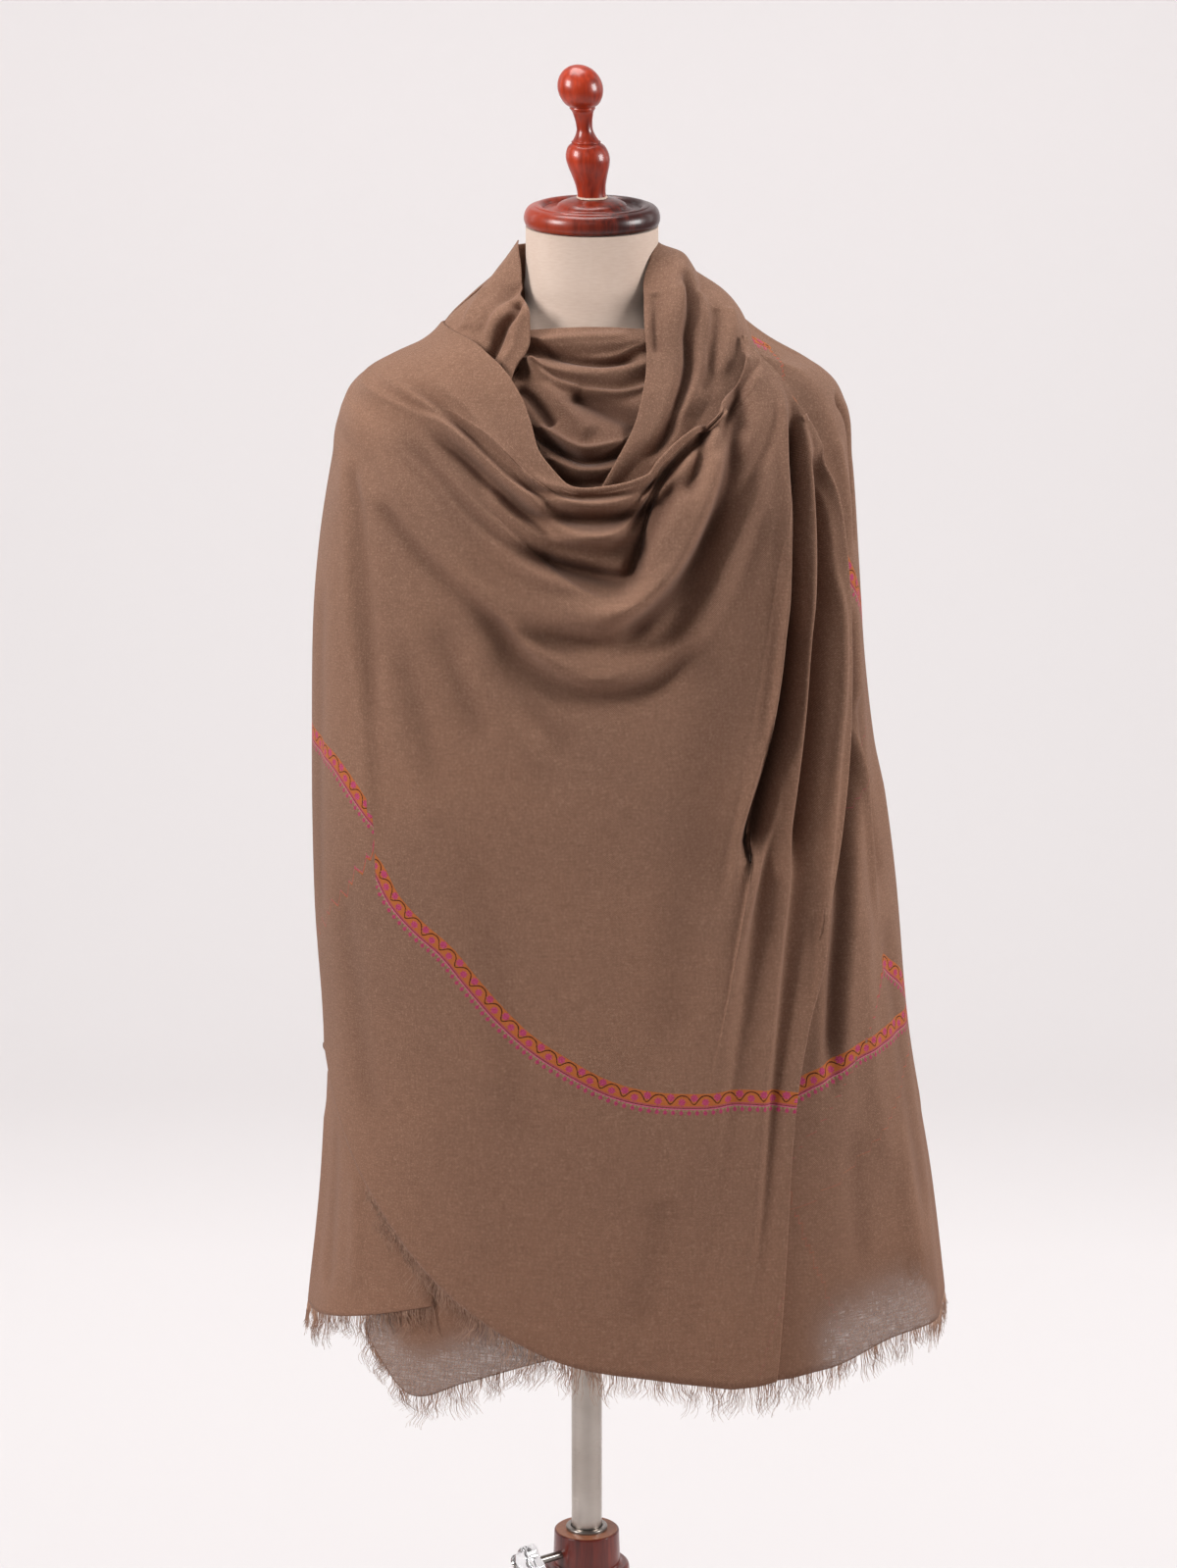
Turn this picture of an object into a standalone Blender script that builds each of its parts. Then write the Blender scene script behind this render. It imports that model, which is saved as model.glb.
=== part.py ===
"""A pashmina shawl worn on a limbless dress form with a turned wooden stand.

Every stretch of the shawl lies on one drape hull: a stack of oval rings around the pole's axis.
A point of cloth is a turn around that axis (0 at the front, + to the right, in degrees), a height,
and a rise off the hull along its normal (both in millimetres, like every table here).
The front stretch is a fan of folds that spread from the gather on the right shoulder.
"""
import math
from collections import namedtuple

import bpy
import numpy as np
from mathutils import Matrix, Vector

MM = 0.001

# Placing: the pole's axis, so that the middle of the outline stands over the origin.
POLE_AT = (-0.0345, 0.0459, 0.0)

# Cloth.
WALL = 2.0
SEAM = 0.3
SEAM_TURN = 0.15          # half the turn between stretches that meet at an upright seam
SIDE_TURN = 100.0         # the side seams lie a little behind the outline
CREST_SAMPLES = 2         # rays between one fold line and the next
FRINGE_STRIP = 4.0
FRINGE_LENGTH = 24.0
FRINGE_GAP = 0.45         # more than the seam, because the hems slope
FRINGE_DEPTH = 1.4
LOCK_PITCH = 10.0
LAYER_STEP = WALL + 0.7
LAP_TURN = 1.0            # how far the right fall reaches under the front's last fold at the hem
LAP_DROP = 4.0
RIGHT_TOP = 1532.0
SHOULDER_DROP = 4.0       # how far the right shoulder's cloth lies under the collar's edge
COWL_SIDE_RISE = -9.0

# Dress form and stand.
CAP_TILT = math.radians(7.5)
NECK_TOP = 1607.0
CAP_RADIUS = 56.5
FINIAL_LEAN = math.tan(math.radians(5.0))
POLE_RADIUS = 13.5
BORE_RADIUS = 14.3
TORSO_BOTTOM = 840.0
POLE_BOTTOM = 175.0
HUB_TOP = 460.0
CLAMP_HEIGHT = 442.0
CLAMP_TURN = math.radians(217.0)
CLAMP_HOLE_RADIUS = 4.6
SCREW_RADIUS = 3.8
KNOB_FROM, KNOB_TO = 57.0, 72.0
COLUMN_BASE_RADIUS = 36.0
TURN_STEPS = 24
FINIAL_STEPS = 20
FOOT_STEPS = 16
LEG_TURNS = (-82.5, 37.5, 157.5)
LEG_RADIUS = 13.0
FOOT_REACH = 240.0
FOOT_HEIGHT = 10.0

Ring = namedtuple("Ring", "height left right front back")
DRAPE_HULL = [
    Ring(600, 255, 322, 170, 152),
    Ring(675, 247, 314, 170, 150),
    Ring(805, 232, 298, 168, 145),
    Ring(910, 226, 279, 166, 140),
    Ring(1040, 232, 260, 163, 135),
    Ring(1180, 232, 242, 160, 132),
    Ring(1325, 226, 229, 152, 128),
    Ring(1415, 213, 222, 134, 120),
    Ring(1462, 203, 216, 114, 110),
    Ring(1484, 189, 203, 104, 104),
    Ring(1498, 168, 184, 96, 98),
    Ring(1512, 138, 158, 89, 93),
    Ring(1537, 112, 124, 80, 84),
    Ring(1570, 78, 86, 68, 74),
    Ring(1600, 62, 62, 62, 66),
]
SQUARENESS = 0.10         # how much fuller than an ellipse a ring is between its four ends

# The front's folds, in order around the gather. Each runs from the gather through near, knee and far
# to end, all (turn, height), and stands off the hull by rise at near, knee and far.
Fold = namedtuple("Fold", "name near knee far end rise")
GATHER = ((50.5, 1516.0), (47.0, 1501.0), (46.5, 1488.0), (46.8, 1473.0), (50.0, 1457.0))
GATHER_SHARES = (0.0, 0.3, 0.55, 0.75, 1.0)
GATHER_RISE = 7.0
STATIONS = (0.0, 0.2, 0.5, 0.78, 1.0)
FRONT_FOLDS = [
    Fold("throat_edge", (19, 1456), (-2, 1405), (-25, 1499), (-100, 1525), (9, 7, 5)),
    Fold("edge_crease", (19.3, 1452), (-1, 1400), (-29, 1466), (-100, 1513), (8, 5, 3)),
    Fold("throat_band", (19.6, 1449), (0, 1392), (-31, 1462), (-100, 1508), (6, 8, 5)),
    Fold("second_trough", (19.9, 1446), (0, 1379), (-33, 1458), (-100, 1503), (2, -3, 1)),
    Fold("second_roll", (20.1, 1443), (0, 1366), (-35, 1455), (-100, 1498), (-1, 10, 5)),
    Fold("second_under", (19.5, 1440), (0, 1352), (-37, 1450), (-100, 1494), (-3, -6, 1)),
    Fold("pocket", (18.5, 1435), (1, 1335), (-39, 1444), (-100, 1490), (-5, -2, 0)),
    Fold("rim_under", (17.9, 1429), (2.5, 1323), (-40, 1438), (-100, 1486), (-6, 2, 1)),
    Fold("big_roll_rim", (17.5, 1415), (4, 1314), (-41, 1431), (-100, 1481), (14, 12, 4)),
    Fold("big_roll_face", (24, 1402), (5, 1296), (-44, 1419), (-100, 1474), (17, 11, 3)),
    Fold("deep_fold", (29, 1390), (4, 1274), (-47, 1405), (-100, 1464), (-5, -5, -1)),
    Fold("third_crest", (33, 1388), (5, 1254), (-49, 1389), (-100, 1450), (8, 4, 2)),
    Fold("third_trough", (36, 1380), (6, 1235), (-52, 1370), (-100, 1432), (5, -2, 0)),
    Fold("belly_high", (38, 1374), (6, 1170), (-50, 1280), (-100, 1370), (6, 3, 2)),
    Fold("belly_middle", (39, 1371), (3, 1080), (-49, 1155), (-100, 1250), (6, 3, 2)),
    Fold("belly_low", (40, 1370), (2, 1000), (-49, 1025), (-100, 1095), (6, 3, 1)),
    Fold("side_corner", (40.4, 1370), (2, 940), (-47, 935), (-100, 927), (6, 3, 1)),
    Fold("hem_side", (40.8, 1371), (5, 935), (-38, 890), (-79, 904), (6, 3, 2)),
    Fold("hem_left", (41.2, 1372), (10, 950), (-20, 850), (-53, 813), (6, 3, 2)),
    Fold("hem_middle", (41.7, 1376), (16, 980), (-6, 815), (-30, 728), (7, 4, 2)),
    Fold("hem_right", (42.7, 1382), (24, 1040), (5, 800), (-11, 677), (8, 5, 2)),
    Fold("first_drop", (44, 1390), (35, 1205), (16, 890), (5, 661), (9, 10, 3)),
    Fold("first_gap", (47, 1390), (38, 1205), (19, 888), (9, 657.5), (-7, -9, -2)),
    Fold("first_strip", (49, 1390), (40.5, 1205), (22, 886), (12.5, 655), (2, 1, 0)),
    Fold("second_drop", (51, 1390), (43, 1202), (25, 885), (16, 652), (9, 10, 3)),
    Fold("second_gap", (54, 1390), (46, 1200), (27, 885), (18, 652), (-7, -9, -3)),
    Fold("second_strip", (57, 1390), (52, 1200), (29, 885), (21, 653), (3, 3, 2)),
    Fold("third_drop", (60, 1390), (58, 1200), (31, 885), (24, 656), (9, 10, 5)),
]
GATHER_FADE = 0.25        # share of a ray over which its fold grows out of the gather

# Hems: (turn, height) stations, left to right.
Station = namedtuple("Station", "turn height")
RIGHT_HEM = [Station(24, 656), Station(33, 663), Station(51, 679), Station(79, 681), Station(100, 690)]
BACK_HEM = [Station(100, 690), Station(140, 700), Station(180, 702), Station(220, 690), Station(260, 672)]
UNDER_HEM = [Station(-100, 672), Station(-80, 678), Station(-61, 690), Station(-47, 702), Station(-34, 716)]
CORNER_HEM = [Station(-55, 699), Station(-46, 660), Station(-39, 636), Station(-26, 652),
              Station(-14, 672), Station(-2, 686)]

# Collar rolls: sections from the nape down into the V, each with an inner and an outer edge.
Section = namedtuple("Section", "inner outer roll")
Edge = namedtuple("Edge", "turn height rise")
COLLAR_RIGHT = [
    Section(Edge(99.5, 1594, -1), Edge(99.5, 1536, 3), 1),
    Section(Edge(72, 1592, -2), Edge(94, 1537, 3), 3),
    Section(Edge(53, 1585, -5), Edge(87, 1536, 3), 5),
    Section(Edge(39, 1568, -13), Edge(78, 1531, 2), 6),
    Section(Edge(21, 1539, -9), Edge(65, 1520, 1.5), 6),
    Section(Edge(13, 1512, -5), Edge(50, 1504, -2), 5),
    Section(Edge(10, 1480, -5), Edge(37, 1484, -5), 3),
    Section(Edge(7, 1450, -5), Edge(25, 1462, -5), 2),
    Section(Edge(3, 1420, -5), Edge(14, 1440, -5), 1),
    Section(Edge(0, 1398, -5), Edge(8, 1410, -5), 0),
]
COLLAR_LEFT = [
    Section(Edge(-99.5, 1594, -1), Edge(-99.5, 1518, -6), 2),
    Section(Edge(-66, 1592, -1), Edge(-90, 1518, -6), 4),
    Section(Edge(-45, 1584, -3), Edge(-82, 1517, -6), 5),
    Section(Edge(-36, 1562, -5), Edge(-75, 1515, -6), 5),
    Section(Edge(-26, 1541, -3), Edge(-68, 1511, -6), 4),
    Section(Edge(-23, 1518, -4), Edge(-56, 1502, -6), 3),
    Section(Edge(-19, 1490, -5), Edge(-42, 1490, -6), 1),
    Section(Edge(-16, 1466, -6), Edge(-31, 1470, -6), 0),
]
COLLAR_ROLLS = 2
NAPE_TOP = 1592.0
BACK_LEVELS = (0, 0.1, 0.2, 0.31, 0.42, 0.53, 0.63, 0.72, 0.79, 0.845, 0.872, 0.892, 0.912, 0.94, 0.97, 1)

# The inner cowl: bands across the throat, top to bottom, with the turn of both ends.
Band = namedtuple("Band", "name left middle right rise")
NECK_BANDS = [
    Band("top_edge", Station(-31, 1531), Station(-2, 1534), Station(25, 1533), -18),
    Band("top_band", Station(-29, 1521), Station(-3, 1520), Station(22, 1524), -10),
    Band("first_crease", Station(-27, 1516), Station(-5, 1510), Station(20, 1518), -17),
    Band("second_band", Station(-25, 1511), Station(-2, 1498), Station(18, 1508), -10),
    Band("hollow", Station(-23, 1505), Station(3, 1487), Station(17, 1500), -19),
    Band("wide_fold", Station(-20, 1490), Station(-1, 1462), Station(14, 1482), -10),
    Band("wide_rim", Station(-15, 1464), Station(-1, 1438), Station(11, 1460), -7),
    Band("rim_shadow", Station(-13, 1452), Station(-1, 1430), Station(9, 1446), -16),
    Band("low_rim", Station(-11, 1440), Station(-1, 1421), Station(8, 1432), -10),
    Band("tuck", Station(-9, 1412), Station(-1, 1398), Station(6, 1408), -15),
]

Oval = namedtuple("Oval", "height side front back")
TORSO_RINGS = [
    Oval(840, 120, 80, 80),
    Oval(843, 146, 96, 96),
    Oval(870, 162, 107, 108),
    Oval(960, 172, 112, 114),
    Oval(1060, 156, 106, 106),
    Oval(1160, 128, 96, 90),
    Oval(1240, 148, 108, 98),
    Oval(1330, 170, 122, 104),
    Oval(1420, 186, 106, 100),
    Oval(1455, 189, 84, 88),
    Oval(1482, 185.5, 72, 80),
    Oval(1502, 128, 64, 70),
    Oval(1518, 82, 60, 64),
    Oval(1536, 60, 57, 60),
    Oval(1560, 56, 56, 57),
    Oval(1590, 55, 55, 55),
    Oval(NECK_TOP, 55, 55, 55),
]

TORSO_SIDES = 26

Turned = namedtuple("Turned", "radius height")
CAP_PROFILE = [Turned(0, 22.5), Turned(13, 22.5), Turned(22, 20.5), Turned(28, 17.5), Turned(30, 15),
               Turned(40, 14), Turned(43, 16.5), Turned(46, 17.5), Turned(49, 17), Turned(52.5, 15),
               Turned(CAP_RADIUS - 1, 11.5), Turned(CAP_RADIUS, 7), Turned(CAP_RADIUS, 4),
               Turned(CAP_RADIUS - 1.5, 1.2), Turned(52, 0), Turned(0, 0)]
FINIAL_PROFILE = [Turned(0, 107.4), Turned(7, 106), Turned(13, 102.2), Turned(17.4, 95.7), Turned(18.8, 88.6),
                  Turned(17.4, 81.5), Turned(13.5, 75.5), Turned(10.2, 73.2), Turned(10.2, 71.8),
                  Turned(9.1, 70), Turned(7.9, 66), Turned(6.8, 60), Turned(6.9, 54.5), Turned(8.5, 50.2),
                  Turned(10.8, 46.4), Turned(11.8, 44.8), Turned(14.6, 42.4), Turned(17.2, 37.8),
                  Turned(18.2, 32.5), Turned(17.3, 26.4), Turned(14.8, 18.4), Turned(12.6, 10.2),
                  Turned(11.8, 4), Turned(11.8, 0), Turned(0, 0)]
HUB_PROFILE = [Turned(BORE_RADIUS, HUB_TOP), Turned(28, HUB_TOP), Turned(28.8, 459), Turned(29.8, 430),
               Turned(36.5, 428), Turned(38, 424), Turned(38, 410), Turned(35, 405), Turned(26, 392),
               Turned(23, 375), Turned(27, 345), Turned(32, 315), Turned(31, 290), Turned(24, 258),
               Turned(22, 243), Turned(28, 236), Turned(28, 226), Turned(24, 220),
               Turned(COLUMN_BASE_RADIUS, 208), Turned(COLUMN_BASE_RADIUS, 110), Turned(30, 80),
               Turned(22, 58), Turned(0, 55), Turned(0, 66), Turned(BORE_RADIUS, 66)]
SLEEVE_PROFILE = [Turned(BORE_RADIUS, 3), Turned(17.4, 3), Turned(18.4, 2), Turned(18.4, 0),
                  Turned(BORE_RADIUS, 0)]
SOCKET_PROFILE = [Turned(BORE_RADIUS, 42), Turned(38, 42), Turned(38, 38), Turned(24, 35), Turned(21, 30),
                  Turned(21, 2), Turned(19, 0), Turned(BORE_RADIUS, 0)]
FOOT_PROFILE = [Turned(0, FOOT_HEIGHT), Turned(15, FOOT_HEIGHT), Turned(18, 7), Turned(18, 1.5),
                Turned(16.5, 0), Turned(0, 0)]
LEG_PATH = [Turned(COLUMN_BASE_RADIUS, 168), Turned(48, 168), Turned(80, 166), Turned(115, 152),
            Turned(148, 124), Turned(178, 88), Turned(206, 58), Turned(230, 38), Turned(FOOT_REACH, 24),
            Turned(FOOT_REACH, FOOT_HEIGHT)]
LEG_TAPER = 0.72


# ---------------------------------------------------------------- curves and the drape hull

def curve_through(knots, values, at):
    """Smooth curve through values at the knots, each slope taken from its neighbours."""
    knots = np.asarray(knots, float)
    values = np.asarray(values, float)
    at = np.asarray(at, float)
    slopes = np.gradient(values, knots, axis=0)
    i = np.clip(np.searchsorted(knots, at) - 1, 0, len(knots) - 2)
    span = knots[i + 1] - knots[i]
    t = (at - knots[i]) / span
    extra = (None,) * (values.ndim - 1)
    t, span = t[(..., *extra)], span[(..., *extra)]
    ends = (1 + 2 * t) * (1 - t) ** 2 * values[i] + t * t * (3 - 2 * t) * values[i + 1]
    return ends + span * (t * (1 - t) ** 2 * slopes[i] + t * t * (t - 1) * slopes[i + 1])


def ease(value):
    """0 below 0, 1 above 1, smooth between."""
    t = np.clip(value, 0.0, 1.0)
    return t * t * (3 - 2 * t)


def hull(turn, height):
    """Points of the drape hull, in millimetres from the pole's axis."""
    rings = np.array(DRAPE_HULL, float)
    side = curve_through(rings[:, 0], rings[:, 1:], height)
    left, right, front, back = np.moveaxis(side, -1, 0)
    sine, cosine = np.sin(np.radians(turn)), np.cos(np.radians(turn))
    x = (right - left) / 2 + (right + left) / 2 * sine * (1 + SQUARENESS * cosine ** 2)
    y = (back - front) / 2 - (back + front) / 2 * cosine * (1 + SQUARENESS * sine ** 2)
    return np.stack([x, y, np.asarray(height, float) + 0 * x], -1)


def hull_normal(turn, height):
    """Outward unit normals of the drape hull."""
    across = hull(turn + 0.5, height) - hull(turn - 0.5, height)
    up = hull(turn, height + 1) - hull(turn, height - 1)
    normal = np.cross(across, up)
    return normal / np.linalg.norm(normal, axis=-1, keepdims=True)


def cloth_points(turn, height, rise):
    """Points that stand off the hull by rise."""
    return hull(turn, height) + hull_normal(turn, height) * np.asarray(rise, float)[..., None]


def hem_height(stations, turn):
    """Height of a hem at a turn."""
    table = np.array(stations, float)
    return curve_through(table[:, 0], table[:, 1], turn)


# ---------------------------------------------------------------- stretches of the shawl

def fold_fan(rays, along):
    """The front's (turn, height, rise), a row for each ray, a column for each place along it."""
    count = len(FRONT_FOLDS)
    share = np.arange(count) / (count - 1)
    start = curve_through(GATHER_SHARES, GATHER, share)
    table = np.zeros((count, len(STATIONS), 3))
    for k, fold in enumerate(FRONT_FOLDS):
        table[k, 0] = (*start[k], GATHER_RISE)
        table[k, 1] = (*fold.near, fold.rise[0])
        table[k, 2] = (*fold.knee, fold.rise[1])
        table[k, 3] = (*fold.far, fold.rise[2])
        table[k, 4] = (*fold.end, 0)
    by_ray = curve_through(np.arange(count), table, rays)
    fan = np.moveaxis(curve_through(STATIONS, np.moveaxis(by_ray, 1, 0), along), 0, 1)
    fan[..., 2] = GATHER_RISE + (fan[..., 2] - GATHER_RISE) * ease(np.asarray(along) / GATHER_FADE)
    return fan


def front_rays():
    """The rays that the solid is lofted through."""
    return np.linspace(0, len(FRONT_FOLDS) - 1, CREST_SAMPLES * (len(FRONT_FOLDS) - 1) + 1)


def front_stations():
    """Places along each ray, closer together near the gather."""
    return np.linspace(0, 1, 21) ** 1.15


def front_fall():
    """The front, from the gather to the left side seam and the hem."""
    fan = fold_fan(front_rays(), front_stations())
    fan[..., 0] = np.maximum(fan[..., 0], -SIDE_TURN + SEAM_TURN)
    return fan


def third_drop():
    """(turn, height, rise) of the front's last fold, top to bottom."""
    return fold_fan(np.array([len(FRONT_FOLDS) - 1.0]), front_stations())[0].T


def right_fall():
    """Over the right shoulder and down that side, tucked under the front's last fold."""
    turns, heights, rises = third_drop()
    above = np.linspace(RIGHT_TOP, heights[0], 6)[:-1]
    edge_height = np.concatenate([above, heights])
    edge_turn = np.concatenate([np.full(len(above), turns[0]), turns])
    edge_rise = np.concatenate([np.full(len(above), rises[0]), rises])
    left = edge_turn - LAP_TURN - 3.5 * ease((edge_height - 930) / 120) - 5 * ease((edge_height - 1455) / 20)
    across = np.linspace(0, 1, 13)
    fraction = (edge_height - edge_height[-1]) / (edge_height[0] - edge_height[-1])
    turn = left[:, None] + (SIDE_TURN - SEAM_TURN - left[:, None]) * across
    bottom = hem_height(RIGHT_HEM, turn)
    height = bottom + (RIGHT_TOP - bottom) * fraction[:, None]
    height[:, 0] = edge_height
    beyond = turn - edge_turn[:, None]
    under = ease((edge_height - 880) / 60)[:, None]
    inside = (edge_rise[:, None] - LAP_DROP) * (1 - under) - 8.0 * under
    shoulder = -SHOULDER_DROP * ease((height - 1490) / 18) * ease((SIDE_TURN - turn) / 8)
    waves = 3.0 * np.sin(np.radians(beyond * 11)) * ease(beyond / 12) * ease((1350 - height) / 200)
    rise = np.minimum(inside * (1 - ease((beyond - 2) / 12)), shoulder)
    rise = rise + waves * ease((SIDE_TURN - turn) / 10)
    return np.stack([turn, height, rise], -1)[::-1]


def back_fall():
    """The back stretch, from the nape to its hem, between the side seams."""
    turn = np.linspace(SIDE_TURN + SEAM_TURN, 360 - SIDE_TURN - SEAM_TURN, 21)
    bottom = hem_height(BACK_HEM, turn)
    level = np.array(BACK_LEVELS)[:, None]
    height = bottom + (NAPE_TOP - bottom) * level
    middle = ease((turn - SIDE_TURN) / 20) * ease((360 - SIDE_TURN - turn) / 20)
    folds = 5 * np.sin(np.radians(turn * 9 + 14 * level)) + 3 * np.sin(np.radians(turn * 5 - 40 * level))
    rise = folds * middle * ease((1480 - height) / 250)
    return np.stack([turn + 0 * level, height, rise], -1)


def collar(sections, rolls):
    """A rolled stretch beside the neck: sections from the nape into the V, with rolls across them."""
    inner = np.array([s.inner for s in sections], float)
    outer = np.array([s.outer for s in sections], float)
    roll = np.array([s.roll for s in sections], float)
    knots = np.arange(len(sections))
    along = np.linspace(0, len(sections) - 1, 2 * len(sections) - 1)
    inner = curve_through(knots, inner, along)[:, None, :]
    outer = curve_through(knots, outer, along)[:, None, :]
    roll = curve_through(knots, roll, along)[:, None]
    across = np.linspace(0, 1, 4 * rolls + 1)
    place = inner + (outer - inner) * across[None, :, None]
    bulge = np.abs(np.sin(np.pi * rolls * across)) ** 0.8
    place[..., 2] += roll * bulge
    return place


def neck_cowl():
    """The inner cowl: a loft through its bands, each a shallow sag across the throat."""
    table = np.array([(*b.left, *b.middle, *b.right, b.rise) for b in NECK_BANDS], float)
    knots = np.arange(len(NECK_BANDS))
    rows = curve_through(knots, table, np.linspace(0, len(NECK_BANDS) - 1, 2 * len(NECK_BANDS) - 1))
    across = np.linspace(0, 1, 11)
    ends = np.stack([rows[:, 0:2], rows[:, 2:4], rows[:, 4:6]], 0)
    place = curve_through((0.0, 0.5, 1.0), ends, across)
    turn, height = np.moveaxis(place, -1, 0)
    side_rise = np.minimum(COWL_SIDE_RISE, rows[:, 6])
    hold = ease(np.minimum(across, 1 - across) / 0.3)[:, None]
    rise = side_rise + (rows[:, 6] - side_rise) * hold
    return np.moveaxis(np.stack([turn, height, rise], -1), 0, 1)[::-1]


FIRST_HEM_FOLD = [fold.name for fold in FRONT_FOLDS].index("side_corner")
FRONT_HEM = [Station(*fold.end) for fold in FRONT_FOLDS[FIRST_HEM_FOLD:]]
UNDER_DROP = 7.5          # how far the second layer lies inside the front


def under_rise(turn, height):
    """The second layer's rise: in line with the back at the side seam, behind the front elsewhere."""
    front = hem_height(FRONT_HEM, turn)
    return -UNDER_DROP * np.maximum(ease((turn + SIDE_TURN) / 20), ease((height - front + 50) / 30))


def layer(hem, first_turn, last_turn, columns, tuck, inset):
    """A layer behind the front, from its own hem up to tuck above the front's hem."""
    turn = np.linspace(first_turn, last_turn, columns)
    bottom = hem_height(hem, turn)
    top = hem_height(FRONT_HEM, turn) + tuck
    level = np.linspace(0, 1, 10)[:, None]
    height = bottom + (top - bottom) * level
    turn = turn + 0 * level
    return np.stack([turn, height, under_rise(turn, height) - inset], -1)


# ---------------------------------------------------------------- making objects

def material(name, colour, roughness, metallic=0.0):
    made = bpy.data.materials.new(name)
    made.use_nodes = True
    shader = made.node_tree.nodes["Principled BSDF"]
    shader.inputs["Base Color"].default_value = (*colour, 1.0)
    shader.inputs["Roughness"].default_value = roughness
    shader.inputs["Metallic"].default_value = metallic
    return made


def add_object(name, mesh, finish, parent, collection):
    made = bpy.data.objects.new(name, mesh)
    made.data.materials.append(finish)
    made.parent = parent
    collection.objects.link(made)
    return made


def cloth_wall(name, cloth, finish, parent, collection):
    """A stretch of cloth: a loft through a grid of cloth coordinates, its inner face a wall deeper."""
    rows, columns = cloth.shape[:2]
    turn, height, rise = np.moveaxis(cloth, -1, 0)
    vertices = np.concatenate([cloth_points(turn, height, rise - depth).reshape(-1, 3)
                               for depth in (0.0, WALL)])
    index = np.arange(rows * columns).reshape(rows, columns)
    outer = np.stack([index[:-1, :-1], index[:-1, 1:], index[1:, 1:], index[1:, :-1]], -1).reshape(-1, 4)
    inner = outer[:, ::-1] + rows * columns
    rim = np.concatenate([index[0, :-1], index[:-1, -1], index[-1, :0:-1], index[:0:-1, 0]])
    after = np.roll(rim, -1)
    edge = np.stack([after, rim, rim + rows * columns, after + rows * columns], -1)
    mesh = bpy.data.meshes.new(name)
    mesh.from_pydata((vertices * MM).tolist(), [], np.concatenate([outer, inner, edge]).tolist())
    mesh.shade_smooth()
    return add_object(name, mesh, finish, parent, collection)


def fringe(name, edge, finish, parent, collection):
    """A narrow strip under a wall's edge, with a tapered lock hanging from each step of it."""
    outer = cloth_points(edge[:, 0], edge[:, 1], edge[:, 2])
    normal = hull_normal(edge[:, 0], edge[:, 1])
    per_step = np.maximum(1, np.round(np.linalg.norm(np.diff(outer, axis=0), axis=1) / LOCK_PITCH)).astype(int)
    i = np.append(np.repeat(np.arange(len(edge) - 1), per_step), len(edge) - 2)
    share = np.append(np.concatenate([np.arange(n) / n for n in per_step]), 1.0)[:, None]
    locks = len(i) - 1
    outer = outer[i] + (outer[i + 1] - outer[i]) * share
    normal = normal[i] + (normal[i + 1] - normal[i]) * share
    down = normal * normal[:, 2:] - (0, 0, 1)
    levels = [(FRINGE_GAP, 0.0), (FRINGE_GAP, FRINGE_DEPTH), (FRINGE_GAP + FRINGE_STRIP, FRINGE_DEPTH),
              (FRINGE_GAP + FRINGE_STRIP, 0.0)]
    loops = [outer + down * drop - normal * depth for drop, depth in levels]
    count = locks + 1
    faces = []
    for side in (0, 1, 3):
        first, second = side * count, ((side + 1) % 4) * count
        faces += [(first + k, first + k + 1, second + k + 1, second + k) for k in range(locks)]
    faces.append((0, count, 2 * count, 3 * count))
    faces.append(tuple(side * count + locks for side in (3, 2, 1, 0)))
    number = np.arange(locks)
    roots = (loops[2][:-1] + loops[2][1:] + loops[3][:-1] + loops[3][1:]) / 4
    length = FRINGE_LENGTH * (1 + 0.22 * np.sin(number * 2.4) + 0.12 * np.sin(number * 5.1 + 1))
    tips = roots + (outer[1:] - outer[:-1]) * (0.6 * np.sin(number * 1.7))[:, None]
    tips += down[:-1] * length[:, None]
    for k in range(locks):
        ring = (2 * count + k, 2 * count + k + 1, 3 * count + k + 1, 3 * count + k)
        faces += [(ring[j], ring[(j + 1) % 4], 4 * count + k) for j in range(4)]
    mesh = bpy.data.meshes.new(name)
    mesh.from_pydata((np.concatenate([*loops, tips]) * MM).tolist(), [], faces)
    return add_object(name, mesh, finish, parent, collection)


def turned(name, profile, finish, parent, collection, steps=TURN_STEPS):
    """A turned piece: its profile, top to bottom on the outside, swept round by a Screw."""
    points = [(p.radius * MM, 0.0, p.height * MM) for p in profile]
    mesh = bpy.data.meshes.new(name)
    edges = [(i, i + 1) for i in range(len(points) - 1)]
    if profile[0].radius > 0:
        edges.append((len(points) - 1, 0))
    mesh.from_pydata(points, edges, [])
    made = add_object(name, mesh, finish, parent, collection)
    screw = made.modifiers.new("turning", "SCREW")
    screw.steps = screw.render_steps = steps
    screw.use_merge_vertices = True
    screw.merge_threshold = 0.00001
    screw.use_smooth_shade = True
    return made


def baked(made):
    """Puts an object's evaluated shape into its mesh."""
    bpy.context.view_layer.update()
    graph = bpy.context.evaluated_depsgraph_get()
    mesh = bpy.data.meshes.new_from_object(made.evaluated_get(graph))
    made.modifiers.clear()
    made.data = mesh
    return made


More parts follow.
